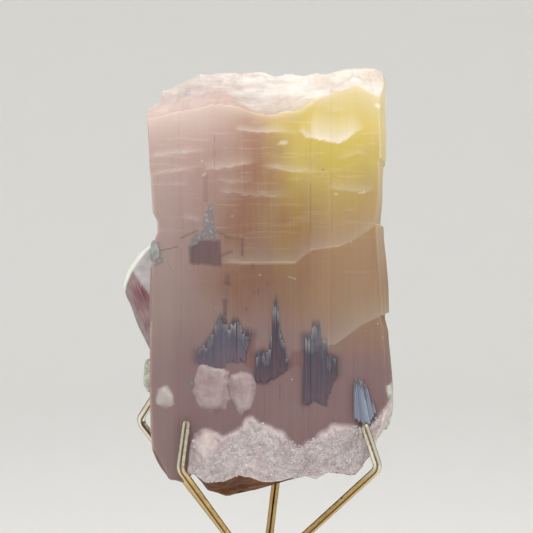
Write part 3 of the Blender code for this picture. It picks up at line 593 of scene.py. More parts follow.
def wall_heights(columns):
    """Height and layer of each row of every column; a close pair of rows makes each ledge."""
    x, y = columns.x, columns.y
    bounds = [foot_height(x, y), *(ledge_height(line, x, y) for line in LEDGES), top_height(x, y)]
    heights, layers = [], []
    for layer, (low, high) in enumerate(zip(bounds, bounds[1:])):
        start = low + (LEDGE_SOFTNESS if layer else 0.0)
        end = high - (LEDGE_SOFTNESS if layer < len(LEDGES) else 0.0)
        spans = round(float(np.mean(end - start)) / ROW_SPACING)
        for n in range(spans + 1):
            heights.append(start + (end - start) * n / spans)
            layers.append(layer)
    return np.array(heights), np.array(layers)


def break_masks(x, z):
    """How pale each place is for the shell-shaped breaks above their lines, and how deep."""
    pale, depth = np.zeros_like(x), np.zeros_like(x)
    for line, fade, deep, strength in BREAKS:
        start, end = line[0][0], line[-1][0]
        above = z - along(line, x) - Relief(*BREAK_WANDER, fade * 1000.0).at(x, 0.0, z)
        inside = ramp(start - BREAK_START, start + BREAK_START, x)
        inside = inside * ramp(0.0, BREAK_RUN_OUT * (end - start), end - x)
        edge = 1.0 - np.minimum(1.0, np.abs(above) / BREAK_EDGE)
        body = np.maximum(fading(above, fade), edge) * inside
        pale = np.maximum(pale, strength * body)
        depth = np.maximum(depth, deep * body)
    return pale, depth


def ledge_offset(x, z):
    """How proud each growth layer stands; to the left the layers run into one another."""
    proud = np.full(x.shape, LEDGE_OFFSETS_FRONT[0])
    steps = zip(LEDGES, LEDGE_SHARP_FROM, LEDGE_OFFSETS_FRONT, LEDGE_OFFSETS_FRONT[1:])
    for line, sharp_from, below, above in steps:
        run_out = LEDGE_RUN_OUT + (LEDGE_SOFTNESS - LEDGE_RUN_OUT) * ramp(*sharp_from, x)
        past = z - along(line, x)
        proud = proud + (above - below) * ramp(-1.0, 1.0, past / run_out)
    return proud


def top_fade(x, z):
    """The face grows frosty towards the chipped top and, a little, at its left edge."""
    below = np.maximum(0.0, along(CHIP_LINE, x) - z)
    left = LEFT_FROST * ramp(*LEFT_FROST_FROM, -x)
    return np.maximum(left, TOP_FADE * np.exp(-below / along(TOP_FADE_REACH, x)))


def ledge_pale(x, z):
    """The pale lip of each main ledge, which fades upwards."""
    pale = np.zeros_like(x)
    for line, fade, strength, start in LEDGE_VEILS:
        pale = np.maximum(pale, strength * fading(z - along(line, x), fade) * ramp(*start, x))
    return pale


def line_distance(line, x, z):
    """Distance to a broken line."""
    distance = np.full(x.shape, np.inf)
    for (ax, az), (bx, bz) in zip(line, line[1:]):
        run, rise = bx - ax, bz - az
        share = np.clip(((x - ax) * run + (z - az) * rise) / (run * run + rise * rise), 0.0, 1.0)
        distance = np.minimum(distance, np.hypot(x - ax - share * run, z - az - share * rise))
    return distance


def depth_inside(outline, x, z):
    """Distance to an outline, positive inside it and negative outside it."""
    inside = np.zeros(x.shape, bool)
    closed = (*outline, outline[0])
    for (ax, az), (bx, bz) in zip(closed, closed[1:]):
        if az != bz:
            crosses = (az > z) != (bz > z)
            inside ^= crosses & (x < ax + (z - az) * (bx - ax) / (bz - az))
    distance = line_distance(closed, x, z)
    return np.where(inside, distance, -distance)


def patch_masks(x, z):
    """Each kind of colour that shows through the front face."""
    ragged_x, ragged_z = x + PATCH_RAGGED_X.at(x, 0.0, z), z + PATCH_RAGGED_Z.at(x, 0.0, z)
    masks = {kind: np.zeros_like(x) for kind in PATCHES}
    for kind, patches in PATCHES.items():
        for strength, outline in patches:
            inside = ramp(-PATCH_EDGE, PATCH_EDGE, depth_inside(outline, ragged_x, ragged_z))
            masks[kind] = np.maximum(masks[kind], strength * inside)
    return masks


def spray_shade(x, z):
    """The darker stone round the upright blade sprays."""
    shade = np.zeros_like(x)
    for *_, (_, lean), tops, feet in SPRAYS.values():
        if lean:
            continue
        first, last = tops[0][0], tops[-1][0]
        away = np.abs(x - (first + last) / 2.0) / ((last - first) / 2.0 + SHADE_REACH)
        inside = np.minimum(along(tops, x) - z, z - along(feet, x))
        shade = np.maximum(shade, ramp(*SHADE_SIDES, -away) * ramp(*SHADE_ENDS, inside))
    return shade


def lobe_rise(x, z):
    """How proud the pale lobes stand, and where they are."""
    rise, cover = np.zeros_like(x), np.zeros_like(x)
    ragged = LOBE_RAGGED.at(x, 0.0, z)
    bumps = total(LOBE_BUMPS, x, 0.0, z)
    for proud, outline in LOBES:
        depth = depth_inside(outline, x, z) + ragged
        swell = np.sqrt(np.clip(depth / LOBE_EDGE, 0.0, 1.0))
        rise = np.maximum(rise, swell * (proud + bumps))
        cover = np.maximum(cover, ramp(*LOBE_COVER_FROM, depth))
    return rise, cover


def crust_cover(x, z):
    line = along(CRUST_LINE, x) + CRUST_WANDER.at(x, 0.0, z)
    return ramp(-CRUST_EDGE, CRUST_EDGE, line - z)


def crust_rise(x, z):
    """Lumpy relief of the granular crust: rounded grains of several sizes."""
    spots = np.stack([x, np.zeros_like(x), z], axis=-1)
    near = np.array([noise.voronoi((spot / CRUST_CELL).tolist())[0][0] for spot in spots])
    return CRUST_THICKNESS + total(CRUST_LUMPS, x, 0.0, z) + CRUST_CELL_RISE * (0.5 - near)


def scoop_depth(x, z):
    """Depth of the shell-shaped hollow below the chipped top, on the right."""
    cx, cy, cz = SCOOP_CENTRE
    half_x, half_y, half_z = SCOOP_HALF_SIZE
    inside = 1.0 - ((x - cx) / half_x) ** 2 - ((z - cz) / half_z) ** 2
    return np.maximum(0.0, cy + half_y * np.sqrt(np.maximum(0.0, inside)) - FRONT_PLANE)


def front_relief(x, z):
    """How proud the front face stands apart from its ledges: vertical steps, striae and a swell."""
    steps = np.array(FRONT_STEP_OFFSETS)[np.searchsorted(FRONT_STEPS, x)]
    return steps + total(FRONT_RELIEFS, x, 0.0, z)


def wall_surface(columns):
    """Positions of the rows between the two broken ends, and their masks."""
    heights, layers = wall_heights(columns)
    x, z = np.broadcast_to(columns.x, heights.shape).copy(), heights
    y, front, veiled = (
        np.broadcast_to(part, heights.shape) for part in (columns.y, columns.front, columns.veiled)
    )
    pale, break_depth = break_masks(x, z)
    pale = np.maximum(pale, np.maximum(ledge_pale(x, z), top_fade(x, z)))
    lobe, lobe_cover = lobe_rise(x, z)
    cover = crust_cover(x, z)
    near_crust = cover > 0.0
    crust = np.zeros_like(x)
    crust[near_crust] = crust_rise(x[near_crust], z[near_crust])
    front_proud = ledge_offset(x, z) + front_relief(x, z) - break_depth - scoop_depth(x, z)
    front_proud = np.maximum(front_proud + cover * crust, lobe)
    side_proud = np.array(LEDGE_OFFSETS_BACK)[layers][:, None] + total(SIDE_RELIEFS, x, y, z)
    proud = np.where(front, front_proud, side_proud)
    wall = np.stack([
        x + edge_shift(x, z) + columns.normal_x * proud,
        y + columns.normal_y * proud,
        z,
    ], axis=-1)
    worn = np.where(front, pale, np.maximum(pale, EDGE_PALENESS * ramp(*EDGE_PALE_FROM, z)))
    masks = {"crust": cover, "lobe": lobe_cover, "shade": spray_shade(x, z), **patch_masks(x, z)}
    masks = {name: np.where(veiled, values, 0.0) for name, values in masks.items()}
    return wall, {**masks, "pale": np.where(veiled, worn, SIDES_PALENESS * worn), "front": front}


def crystal_surface():
    """Positions of the crystal's grid, as rings by columns, and its masks."""
    columns = plan_columns()
    wall, masks = wall_surface(columns)
    top = end_rings(columns, wall[-1], top_height, TOP_RINGS)
    foot = end_rings(columns, wall[0], foot_height, FOOT_RINGS)[::-1]
    grid = np.concatenate([foot, wall, top])
    rings = {name: np.zeros(grid.shape[:2]) for name in (*masks, "top")}
    first_top = len(foot) + len(wall)
    for name, mask in masks.items():
        rings[name][len(foot):first_top] = mask
    x, y, z = np.moveaxis(top, -1, 0)
    rings["slate"][first_top:] = np.where(y < PLATEAU_SINKS[0], patch_masks(x, z)["slate"], 0.0)
    rings["pale"][first_top:] = TOP_RIM_PALENESS
    rings["top"][first_top:] = ramp(0.0, 1.0, (y - FRONT_PLANE) / along(TOP_BLEND, x))
    return grid, rings


def end_rings(columns, rim, height, count):
    """Rings that close an end of the crystal, from next to its rim in to its spine."""
    (left, depth), (right, _) = SPINE
    base = np.stack([columns.x, columns.y], axis=-1)
    spine = np.stack([np.clip(columns.x, left, right), np.full(len(base), depth)], axis=-1)
    moved = rim[:, :2] - base
    rings = []
    for n in range(1, count + 1):
        share = 1.0 + (INNER_RING - 1.0) * n / count
        spot = spine + (base - spine) * share
        place = spot + moved * share
        rings.append(np.column_stack([place, height(spot[:, 0], spot[:, 1])]))
    return np.array(rings)


def linked(name, data):
    """A new object in the scene."""
    made = bpy.data.objects.new(name, data)
    bpy.context.scene.collection.objects.link(made)
    return made


def tube_quads(index):
    """Faces round a tube whose point numbers are given as rings by columns."""
    after = np.roll(index, -1, axis=1)
    quads = np.stack([index[:-1], after[:-1], after[1:], index[1:]], axis=-1)
    return quads.reshape(-1, 4).tolist()


def mesh_from_grid(name, grid, masks):
    """A closed mesh of rings by columns, with each mask as a float attribute of its points."""
    index = np.arange(grid.shape[0] * grid.shape[1]).reshape(grid.shape[:2])
    faces = [*tube_quads(index), index[0][::-1].tolist(), index[-1].tolist()]
    mesh = bpy.data.meshes.new(name)
    mesh.from_pydata(grid.reshape(-1, 3).tolist(), [], faces)
    for mask, values in masks.items():
        add_mask(mesh, mask, values.reshape(-1).astype(np.float32))
    return linked(name, mesh)


def add_mask(mesh, name, values):
    mesh.attributes.new(name, "FLOAT", "POINT").data.foreach_set("value", values)


def smooth(piece, angle):
    piece.data.shade_smooth()
    piece.data.set_sharp_from_angle(angle=math.radians(angle))


# Materials
def tone(red, green, blue):
    """A colour given by its 8-bit screen values, as linear light."""
    return (*(((v / 255.0 + 0.055) / 1.055) ** 2.4 for v in (red, green, blue)), 1.0)


ROSE = tone(182, 151, 146)
TAN = tone(156, 106, 78)
PEACH = tone(186, 145, 104)
MUSTARD = tone(168, 122, 60)
LEMON = tone(204, 180, 66)
MAUVE = tone(162, 125, 128)
GREY_VEIL = tone(168, 150, 140)
FROST = tone(240, 230, 216)
TOP_TINT = tone(216, 204, 200)
TOP_FROST = tone(238, 238, 232)
TOP_TINT_LOW = tone(192, 176, 172)
TOP_FROST_LOW = tone(216, 210, 202)
CRUST = tone(248, 234, 231)
LOBE = tone(222, 201, 200)
SHADE_OF_LOBE = tone(196, 168, 169)
HONEY = tone(78, 38, 8)
HONEY_PALE = tone(112, 64, 24)
SHADE = tone(104, 80, 92)
MARKS = {
    "slate": tone(128, 130, 138),
    "plum": tone(118, 84, 90),
    "wine": tone(142, 90, 92),
    "white": tone(240, 238, 226),
    "brown": tone(122, 94, 72),
}
BLADE_FOOT = tone(92, 74, 82)
BLADE_MIDDLE = tone(74, 68, 78)
BLADE_BLUE = tone(150, 164, 182)
BLADE_UPPER = tone(106, 106, 114)
BLADE_TIP = tone(144, 146, 148)
BLADE_MIDDLE_FROM = (0.15, 0.60)
BLADE_UPPER_FROM = (0.66, 0.86)
BLADE_TIP_FROM = (0.90, 1.06)
BLADE_MOTTLE = 0.9
FOOT_ROSE = tone(124, 98, 95)
SIDE_ROSE = tone(134, 100, 104)
SIDE_ROSE_PALE = tone(156, 132, 132)
SIDE_DEEP = tone(118, 58, 72)
SIDE_GREY = tone(146, 142, 136)
SIDE_SCRATCH = tone(190, 178, 176)
SIDE_LILAC = tone(168, 166, 168)
SIDE_LILAC_PALE = tone(190, 184, 184)
SIDE_RIM_WHITE = tone(232, 238, 228)
GRAIN_ROSE = tone(190, 169, 169)
GRAIN_WHITE = tone(222, 211, 209)
MATRIX_GREY = tone(150, 148, 140)
MATRIX_WHITE = tone(206, 210, 196)
MATRIX_SLATE = tone(122, 122, 124)
# Brass: the silvery prong colours are a painted highlight, and the dark edge colour is a painted dark
# reflection along the wire's edges
BRASS_GOLD = tone(228, 200, 140)
BRASS_GOLD_DEEP = tone(190, 154, 92)
BRASS_PRONG_HIGHLIGHT = tone(236, 230, 212)
BRASS_PRONG_HIGHLIGHT_DEEP = tone(206, 194, 164)
BRASS_PAINTED_DARK_REFLECTION = tone(76, 60, 40)


class Pattern(NamedTuple):
    """A noise pattern that goes from 0 to its share where the noise goes from low to high."""

    scale: float
    low: float
    high: float
    share: float = 1.0
    detail: float = 3.0
    roughness: float = 0.5
    stretch: tuple = (1.0, 1.0, 1.0)


VEIL = Pattern(170.0, 0.42, 0.66, 0.15, 4.0, stretch=(1.0, 1.0, 0.5))
PATCHY = Pattern(420.0, 0.36, 0.62, detail=4.0, roughness=0.6)
CHIPS = Pattern(260.0, 0.42, 0.64, 0.70, 4.0, 0.55, (0.45, 1.0, 1.6))
WISPS = Pattern(1100.0, 0.56, 0.70, 0.13, 3.0, 0.6, (0.10, 1.0, 1.0))
FLECKS = Pattern(1500.0, 0.50, 0.72, 0.5)
SEAMS = Pattern(700.0, 0.58, 0.70, 0.25, stretch=(0.4, 1.0, 1.5))
NOISE_MIDDLE = (0.3, 0.7)
CLOUD_SCALE = 90.0
CLOUD_DRIFT = 0.012
LOBE_CRACK_SCALE = 430.0
LOBE_CRACK_SHARE = 0.16
TOP_SHARE = 0.80
TOP_FACET_SCALE = 520.0
TOP_GRIT_SCALE = 700.0
SPECK_SCALE = 300.0
SPECK_REACH = (0.09, 0.05)
SPECK_CLOUDS = (0.00, 0.06)
SPECK_SHARE = 0.35
STRIAE_SCALE = 2200.0
STRIAE_STRETCH = (1.0, 1.0, 0.03)
STRIAE_SHARE = 0.12
STONE_IOR = 1.62
GRAIN_IOR = 1.55
BLADE_IOR = 1.45


class Nodes:
    """A material's node tree, built up by short calls."""

    def __init__(self, name):
        self.material = bpy.data.materials.new(name)
        self.material.use_nodes = True
        self.tree = self.material.node_tree
        self.shader = self.tree.nodes["Principled BSDF"]

    def put(self, socket, value):
        if isinstance(value, bpy.types.NodeSocket):
            self.tree.links.new(value, socket)
        elif value is not None:
            socket.default_value = value

    def fill(self, node, **values):
        """Sets or links the inputs of a node by their names, written with _ for a space."""
        for name, value in values.items():
            self.put(node.inputs[name.replace("_", " ")], value)
        return node

    def node(self, kind, *values, **settings):
        made = self.tree.nodes.new(kind)
        for name, setting in settings.items():
            setattr(made, name, setting)
        for socket, value in zip(made.inputs, values):
            self.put(socket, value)
        return made

    def place(self):
        return self.node("ShaderNodeTexCoord").outputs["Object"]

    def axes(self, vector):
        return self.node("ShaderNodeSeparateXYZ", vector).outputs[:]

    def mask(self, name):
        return self.node("ShaderNodeAttribute", attribute_name=name).outputs["Fac"]

    def math(self, operation, first, second=None):
        return self.node("ShaderNodeMath", first, second, operation=operation).outputs[0]

    def times(self, first, second):
        return self.math("MULTIPLY", first, second)

    def plus(self, first, second):
        return self.math("ADD", first, second)

    def vector(self, operation, first, second=None):
        return self.node("ShaderNodeVectorMath", first, second, operation=operation).outputs[0]

    def span(self, value, low, high, out_low=0.0, out_high=1.0):
        return self.node("ShaderNodeMapRange", value, low, high, out_low, out_high).outputs[0]

    def mix(self, share, first, second, blend="MIX"):
        made = self.node("ShaderNodeMix", data_type="RGBA", blend_type=blend)
        self.put(made.inputs[0], share)
        self.put(made.inputs[6], first)
        self.put(made.inputs[7], second)
        return made.outputs[2]

    def layers(self, colour, *coats):
        """Lays coats over a first colour, each given as its share and its own colour."""
        for share, coat in coats:
            colour = self.mix(share, colour, coat)
        return colour

    def noise(self, place, scale, detail=3.0, roughness=0.5, stretch=None):
        spots = self.vector("MULTIPLY", place, stretch) if stretch else place
        made = self.node("ShaderNodeTexNoise")
        self.fill(made, Vector=spots, Scale=scale, Detail=detail, Roughness=roughness)
        return made.outputs[0]

    def pattern(self, place, look):
        value = self.noise(place, look.scale, look.detail, look.roughness, look.stretch)
        return self.span(value, look.low, look.high, 0.0, look.share)

    def voronoi(self, place, scale, feature="F1"):
        made = self.node("ShaderNodeTexVoronoi", feature=feature)
        return self.fill(made, Vector=place, Scale=scale).outputs[0]

    def bar(self, place, start, end, half_width):
        """1 inside a bar drawn in the x-z plane from start to end, 0 outside it."""
        (ax, az), (bx, bz) = start, end
        local = self.fill(
            self.node("ShaderNodeMapping", vector_type="TEXTURE"),
            Vector=place,
            Location=((ax + bx) / 2.0, 0.0, (az + bz) / 2.0),
            Rotation=(0.0, -math.atan2(bz - az, bx - ax), 0.0),
        )
        half = (math.hypot(bx - ax, bz - az) / 2.0, 0.0, half_width)
        past = self.vector("SUBTRACT", self.vector("ABSOLUTE", local.outputs[0]), half)
        along_bar, _, across_bar = self.axes(past)
        return self.span(self.math("MAXIMUM", along_bar, across_bar), STROKE_EDGE, -STROKE_EDGE)

    def bump(self, height, distance, strength=1.0, normal=None):
        made = self.node("ShaderNodeBump")
        self.fill(made, Height=height, Distance=distance, Strength=strength, Normal=normal)
        return made.outputs[0]

    def finish(self, **values):
        self.fill(self.shader, **values)
        return self.material


def milky(make, colour, fine, roughness=0.42, normal=None):
    """Finishes a material as milky stone that light sinks into."""
    return make.finish(
        Base_Color=colour,
        Roughness=roughness,
        IOR=STONE_IOR,
        Specular_IOR_Level=0.3,
        Subsurface_Weight=0.5,
        Subsurface_Radius=(1.0, 0.75, 0.6),
        Subsurface_Scale=0.003,
        Normal=make.bump(fine, 0.00006, 0.5, normal),
    )


def deepened_and_shaded(make, colour, z):
    """The stone is darker towards its foot, partly its deeper colour and partly painted shade for light
    that falls from above; the crust is darkened less.
    """
    rise = make.math("POWER", make.span(z, *DEEPENING_AND_SHADE), DEEPENING_AND_SHADE_POWER)
    fall = make.span(rise, 0.0, 1.0, DEEPEST_AND_SHADED, PALEST)
    grey = make.node("ShaderNodeCombineColor", fall, fall, fall).outputs[0]
    share = make.span(make.mask("crust"), 0.0, 1.0, 1.0, CRUST_DIMMED)
    return make.mix(share, colour, grey, "MULTIPLY")


def zone_colours(make, x, z):
    """Rose on the left, then tan, peach, mustard and lemon, and mauve at the foot."""
    from_middle = make.math("ABSOLUTE", make.math("SUBTRACT", x, MUSTARD_MIDDLE))
    none_below, full_from, full_to, none_above = MUSTARD_HEIGHTS
    band = make.times(make.span(z, none_below, full_from), make.span(z, none_above, full_to))
    return make.layers(
        ROSE,
        (make.times(make.span(x, *TAN_FROM), make.span(z, *TAN_FOOT)), TAN),
        (make.span(x, *PEACH_FROM), PEACH),
        (make.times(make.span(from_middle, MUSTARD_REACH, 0.0), band), MUSTARD),
        (make.times(make.span(x, *LEMON_FROM), make.span(z, *LEMON_FOOT)), LEMON),
        (make.span(z, *MAUVE_TOP[::-1]), MAUVE),
    )


def lobe_coats(make, place, patchy):
    """The pale lobes, patchy and crossed by fine cracks."""
    cracks = make.span(make.voronoi(place, LOBE_CRACK_SCALE, "DISTANCE_TO_EDGE"), 0.03, 0.0)
    cracks = make.times(make.times(cracks, make.mask("lobe")), LOBE_CRACK_SHARE)
    return (make.mask("lobe"), make.mix(patchy, SHADE_OF_LOBE, LOBE)), (cracks, CRUST)


def top_coats(make, place, x, z):
    """The broken top: frosted where it is chipped, and brighter towards its crest."""
    high = make.span(make.plus(z, make.times(x, TOP_BRIGHT_SLANT)), *TOP_BRIGHT_FROM)
    chipped = make.times(make.mask("top"), make.pattern(place, CHIPS))
    return (
        (make.times(make.mask("top"), TOP_SHARE), make.mix(high, TOP_TINT_LOW, TOP_TINT)),
        (chipped, make.mix(high, TOP_FROST_LOW, TOP_FROST)),
    )


def top_bump(make, place):
    """Small facets and grit on the broken top."""
    slanted = make.vector("MULTIPLY", place, CHIPS.stretch)
    facets = make.times(make.voronoi(slanted, TOP_FACET_SCALE), 0.6)
    uneven = make.plus(facets, make.noise(slanted, TOP_GRIT_SCALE, 4.0))
    return make.bump(make.times(uneven, make.mask("top")), 0.0007, 0.8)


def body_material():
    """Milky translucent stone: rose to lemon, mauve below, frosty where it is broken."""
    make = Nodes("milky tourmaline")
    place = make.place()
    x, _, z = make.axes(place)
    cloud = make.math("SUBTRACT", make.noise(place, CLOUD_SCALE), 0.5)
    drift = make.times(cloud, CLOUD_DRIFT)
    patchy = make.pattern(place, PATCHY)
    specks = make.span(make.voronoi(place, SPECK_SCALE), *SPECK_REACH, 0.0, SPECK_SHARE)
    striae = make.noise(place, STRIAE_SCALE, 2.0, stretch=STRIAE_STRETCH)
    slate = make.mix(make.pattern(place, FLECKS), MARKS["slate"], FROST)
    colour = make.layers(
        zone_colours(make, make.plus(x, drift), make.plus(z, drift)),
        (make.pattern(place, VEIL), GREY_VEIL),
        (make.mask("shade"), SHADE),
        (make.mask("pale"), FROST),
        *lobe_coats(make, place, patchy),
        *top_coats(make, place, x, z),
        (make.times(make.pattern(place, WISPS), make.span(z, *WISPS_FROM)), FROST),
        (make.times(specks, make.span(cloud, *SPECK_CLOUDS)), FROST),
        *((make.mask(kind), slate if kind == "slate" else MARKS[kind]) for kind in PATCHES),
        *stroke_coats(make, place),
        (make.mask("crust"), make.mix(patchy, LOBE, CRUST)),
        (make.times(striae, STRIAE_SHARE), FROST),
    )
    # The stone is darkened towards its foot, partly for its deeper colour and partly as painted shade
    return milky(make, deepened_and_shaded(make, colour, z), striae, normal=top_bump(make, place))


def foot_material():
    """The broken underside: honey-brown, glassy where it is deep, with paler seams."""
    make = Nodes("honey foot")
    place = make.place()
    cloud = make.noise(place, 240.0, 4.0)
    colour = make.layers(
        HONEY,
        (make.span(cloud, 0.35, 0.65), HONEY_PALE),
        (make.pattern(place, SEAMS), SHADE_OF_LOBE),
        (make.span(make.axes(place)[0], *FOOT_ROSE_FROM), FOOT_ROSE),
    )
    return make.finish(
        Base_Color=colour,
        Roughness=make.span(cloud, *NOISE_MIDDLE, 0.45, 0.60),
        IOR=STONE_IOR,
        Specular_IOR_Level=0.06,
        Normal=make.bump(cloud, 0.0005, 0.6),
    )


def stroke_coats(make, place):
    """Thin marks on the front face, slightly ragged."""
    wander = make.fill(make.node("ShaderNodeTexNoise"), Vector=place, Scale=STROKE_RAGGED_SCALE)
    ragged = make.vector("SUBTRACT", wander.outputs["Color"], (0.5, 0.5, 0.5))
    ragged = make.vector("MULTIPLY", ragged, STROKE_RAGGED)
    spots = make.vector("ADD", make.vector("ADD", place, (-SPECIMEN_X, 0.0, 0.0)), ragged)
    coats = []
    for kind, strokes in STROKES.items():
        cover = 0.0
        for strength, half_width, start, end in strokes:
            bar = make.times(make.bar(spots, start, end, half_width), strength)
            cover = make.math("MAXIMUM", cover, bar)
        coats.append((make.times(cover, make.mask("front")), MARKS[kind]))
    return coats


def side_material():
    """The side crystal: pale grey above its slanting edge, deep rose below it, a white rim."""
    make = Nodes("side tourmaline")
    local = make.fill(
        make.node("ShaderNodeMapping", vector_type="TEXTURE"),
        Vector=make.place(),
        Rotation=tuple(SIDE_CRYSTAL_LEAN.to_euler()),
    ).outputs[0]
    scratch = make.noise(local, 1300.0, stretch=(1.0, 1.0, 0.10))
    cloud = make.span(make.noise(local, 500.0), 0.35, 0.70)
    colour = make.layers(
        SIDE_ROSE,
        (cloud, SIDE_ROSE_PALE),
        (make.mask("deep"), SIDE_DEEP),
        (make.times(make.mask("edge"), 0.7), SIDE_GREY),
        (make.span(scratch, 0.60, 0.70, 0.0, 0.45), SIDE_SCRATCH),
        (make.mask("pale"), make.mix(cloud, SIDE_LILAC, SIDE_LILAC_PALE)),
        (make.mask("rim"), SIDE_RIM_WHITE),
    )
    return milky(make, colour, scratch, 0.36)


def blade_material():
    """Dark blades: plum at the foot, slate blue above, frosted at the tip, streaked lengthways."""
    make = Nodes("dark blades")
    place = make.place()
    streak = make.noise(place, 3000.0, stretch=(1.0, 1.0, 0.06))
    mottle = make.math("SUBTRACT", make.noise(place, 700.0, 4.0, stretch=(1.0, 1.0, 0.5)), 0.5)
    height = make.plus(make.mask("along"), make.times(mottle, BLADE_MOTTLE))
    frosted = make.plus(make.times(make.mask("blue"), 0.4), 0.15)
    colour = make.layers(
        BLADE_FOOT,
        (make.span(height, *BLADE_MIDDLE_FROM), BLADE_MIDDLE),
        (make.mask("blue"), BLADE_BLUE),
        (make.span(height, *BLADE_UPPER_FROM), BLADE_UPPER),
        (make.span(height, *BLADE_TIP_FROM), BLADE_TIP),
        (make.times(make.span(streak, 0.56, 0.78), frosted), BLADE_TIP),
        (make.times(make.mask("shade"), 0.35), BLADE_FOOT),
    )
    return make.finish(
        Base_Color=colour,
        Roughness=make.span(streak, *NOISE_MIDDLE, 0.60, 0.80),
        IOR=BLADE_IOR,
        Specular_IOR_Level=0.2,
        Normal=make.bump(streak, 0.00004, 0.4),
    )


def grain_material():
    """Sugary grains, from rose grey to nearly white, slightly clear."""
    make = Nodes("sugary crust")
    place = make.place()
    cloud = make.noise(place, 260.0)
    lightness = make.plus(make.times(make.mask("shade"), 0.10), cloud)
    return make.finish(
        Base_Color=make.mix(make.span(lightness, 0.38, 0.74), GRAIN_ROSE, GRAIN_WHITE),
        Roughness=make.span(cloud, *NOISE_MIDDLE, 0.42, 0.60),
        IOR=GRAIN_IOR,
        Subsurface_Weight=0.5,
        Subsurface_Radius=(1.0, 0.8, 0.75),
        Subsurface_Scale=0.0015,
        Normal=make.bump(make.noise(place, 4000.0, 2.0), 0.00004, 0.5),
    )


def matrix_material():
    """Greenish white matrix grains, rough and crumbly, slate grey high up."""
    make = Nodes("pale matrix")
    place = make.place()
    cloud = make.noise(place, 900.0, 4.0)
    colour = make.mix(make.span(cloud, 0.38, 0.62), MATRIX_GREY, MATRIX_WHITE)
    slate = make.span(make.axes(place)[2], *SLATE_LUMP_FROM, 0.0, 0.75)
    return make.finish(
        Base_Color=make.mix(slate, colour, MATRIX_SLATE),
        Roughness=make.span(cloud, *NOISE_MIDDLE, 0.50, 0.75),
        IOR=GRAIN_IOR,
        Subsurface_Weight=0.3,
        Subsurface_Radius=(1.0, 0.9, 0.8),
        Subsurface_Scale=0.001,
        Normal=make.bump(cloud, 0.0002, 0.7),
    )


def brass_material():
    """Golden wire with fine hammer marks, lighter and silvery on the prongs as a painted highlight, and
    dark along its edges as a painted dark reflection.
    """
    make = Nodes("polished brass wire")
    place = make.place()
    hammer = make.noise(place, 900.0, 2.0)
    tarnish = make.noise(place, 60.0, 4.0)
    golden = make.mix(make.span(tarnish, 0.35, 0.65), BRASS_GOLD, BRASS_GOLD_DEEP)
    prong_highlight = make.mix(make.span(tarnish, 0.40, 0.70), BRASS_PRONG_HIGHLIGHT, BRASS_PRONG_HIGHLIGHT_DEEP)
    # The prongs are lighter by height: a painted highlight
    colour = make.mix(make.span(make.axes(place)[2], *PRONG_HEIGHTS), golden, prong_highlight)
    # Darker bands along the wire's edges: a painted dark reflection
    edge = make.plus(make.mask("edge"), make.times(hammer, 0.5))
    return make.finish(
        Base_Color=make.mix(make.span(edge, 0.65, 1.15, 0.0, 0.85), colour, BRASS_PAINTED_DARK_REFLECTION),
        Metallic=1.0,
        Roughness=make.span(hammer, *NOISE_MIDDLE, 0.12, 0.26),
        Normal=make.bump(hammer, 0.0002, 0.6),
    )


def part_of_stone(piece, material):
    piece.data.materials.append(material)
    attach(piece, "root")
    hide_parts("crystal")


def object_from(build, name):
    """A new object from a bmesh, which is used up."""
    mesh = bpy.data.meshes.new(name)
    build.normal_update()
    build.to_mesh(mesh)
    build.free()
    return linked(name, mesh)


def crystal_body(material, under):
    grid, masks = crystal_surface()
    grid = grid + np.array((SPECIMEN_X, 0.0, 0.0))
    body = mesh_from_grid("crystal_body", grid, masks)
    smooth(body, BODY_SHARP_ANGLE)
    part_of_stone(body, material)
    body.data.materials.append(under)
    # The foot's quads come first, and the last two faces close the foot and the top
    underside = np.zeros(len(body.data.polygons), np.int32)
    underside[: FOOT_RINGS * grid.shape[1]] = 1
    underside[-2] = 1
    body.data.polygons.foreach_set("material_index", underside)


def hexagon(columns_per_side):
    """Directions round a hexagon with a corner at +Y, anticlockwise, in units of its radius."""
    corners = [math.pi / 2.0 + n * math.pi / 3.0 for n in range(7)]
    points = []
    for start, end in zip(corners, corners[1:]):
        first = np.array((math.cos(start), math.sin(start)))
        last = np.array((math.cos(end), math.sin(end)))
        points.append(first * SIDE_CORNER_SHARE)
        for n in range(1, columns_per_side):
            points.append(first + (last - first) * n / columns_per_side)
    return np.array(points)


def side_rings():
    """Rings of the side crystal along its own axis, from its root to its closed tip."""
    aside = np.array(SIDE_CRYSTAL_LEAN.inverted() @ Vector((1.0, 0.0, 0.0)))
    rises, tip_shares, tip_shifts = zip(*SIDE_CRYSTAL_TIP)
    heights = [0.0, *np.cumsum([SIDE_CRYSTAL_LENGTH, *rises])]
    shares, shifts = (1.0, 1.0, *tip_shares), (0.0, 0.0, *tip_shifts)
    outline = hexagon(SIDE_SPANS) * SIDE_CRYSTAL_RADIUS
    rings = []
    for level in np.arange(0.0, heights[-1], SIDE_RING_SPACING):
        share, shift = np.interp(level, heights, shares), np.interp(level, heights, shifts)
        ring = np.column_stack([outline * share, np.full(len(outline), level)]) + aside * shift
        rings.append(ring)
    last = rings[-1]
    middle = last.mean(axis=0) + np.array((0.0, 0.0, SIDE_TIP_RISE))
    return np.array([*rings, *(middle + (last - middle) * share for share in SIDE_TIP_SHARES)])


def side_masks(x, z):
    """Where the side crystal is pale, white at its rim, grey at its edge and deep rose."""
    (ax, az), (bx, bz) = SIDE_FACE_LINE
    above = ((x - ax) * (az - bz) + (z - az) * (bx - ax)) / math.hypot(bx - ax, bz - az)
    across, up = (hump(*where) for where in zip(SIDE_DEEP_SPOT, SIDE_DEEP_REACH, (x, z)))
    return {
        "pale": ramp(*SIDE_PALE_FROM, above),
        "rim": ramp(*SIDE_RIM_FROM, -line_distance(SIDE_RIM, x, z)),
        "edge": ramp(*SIDE_GREY_FROM, -line_distance(SIDE_GREY_EDGE, x, z)),
        "deep": across * up,
    }


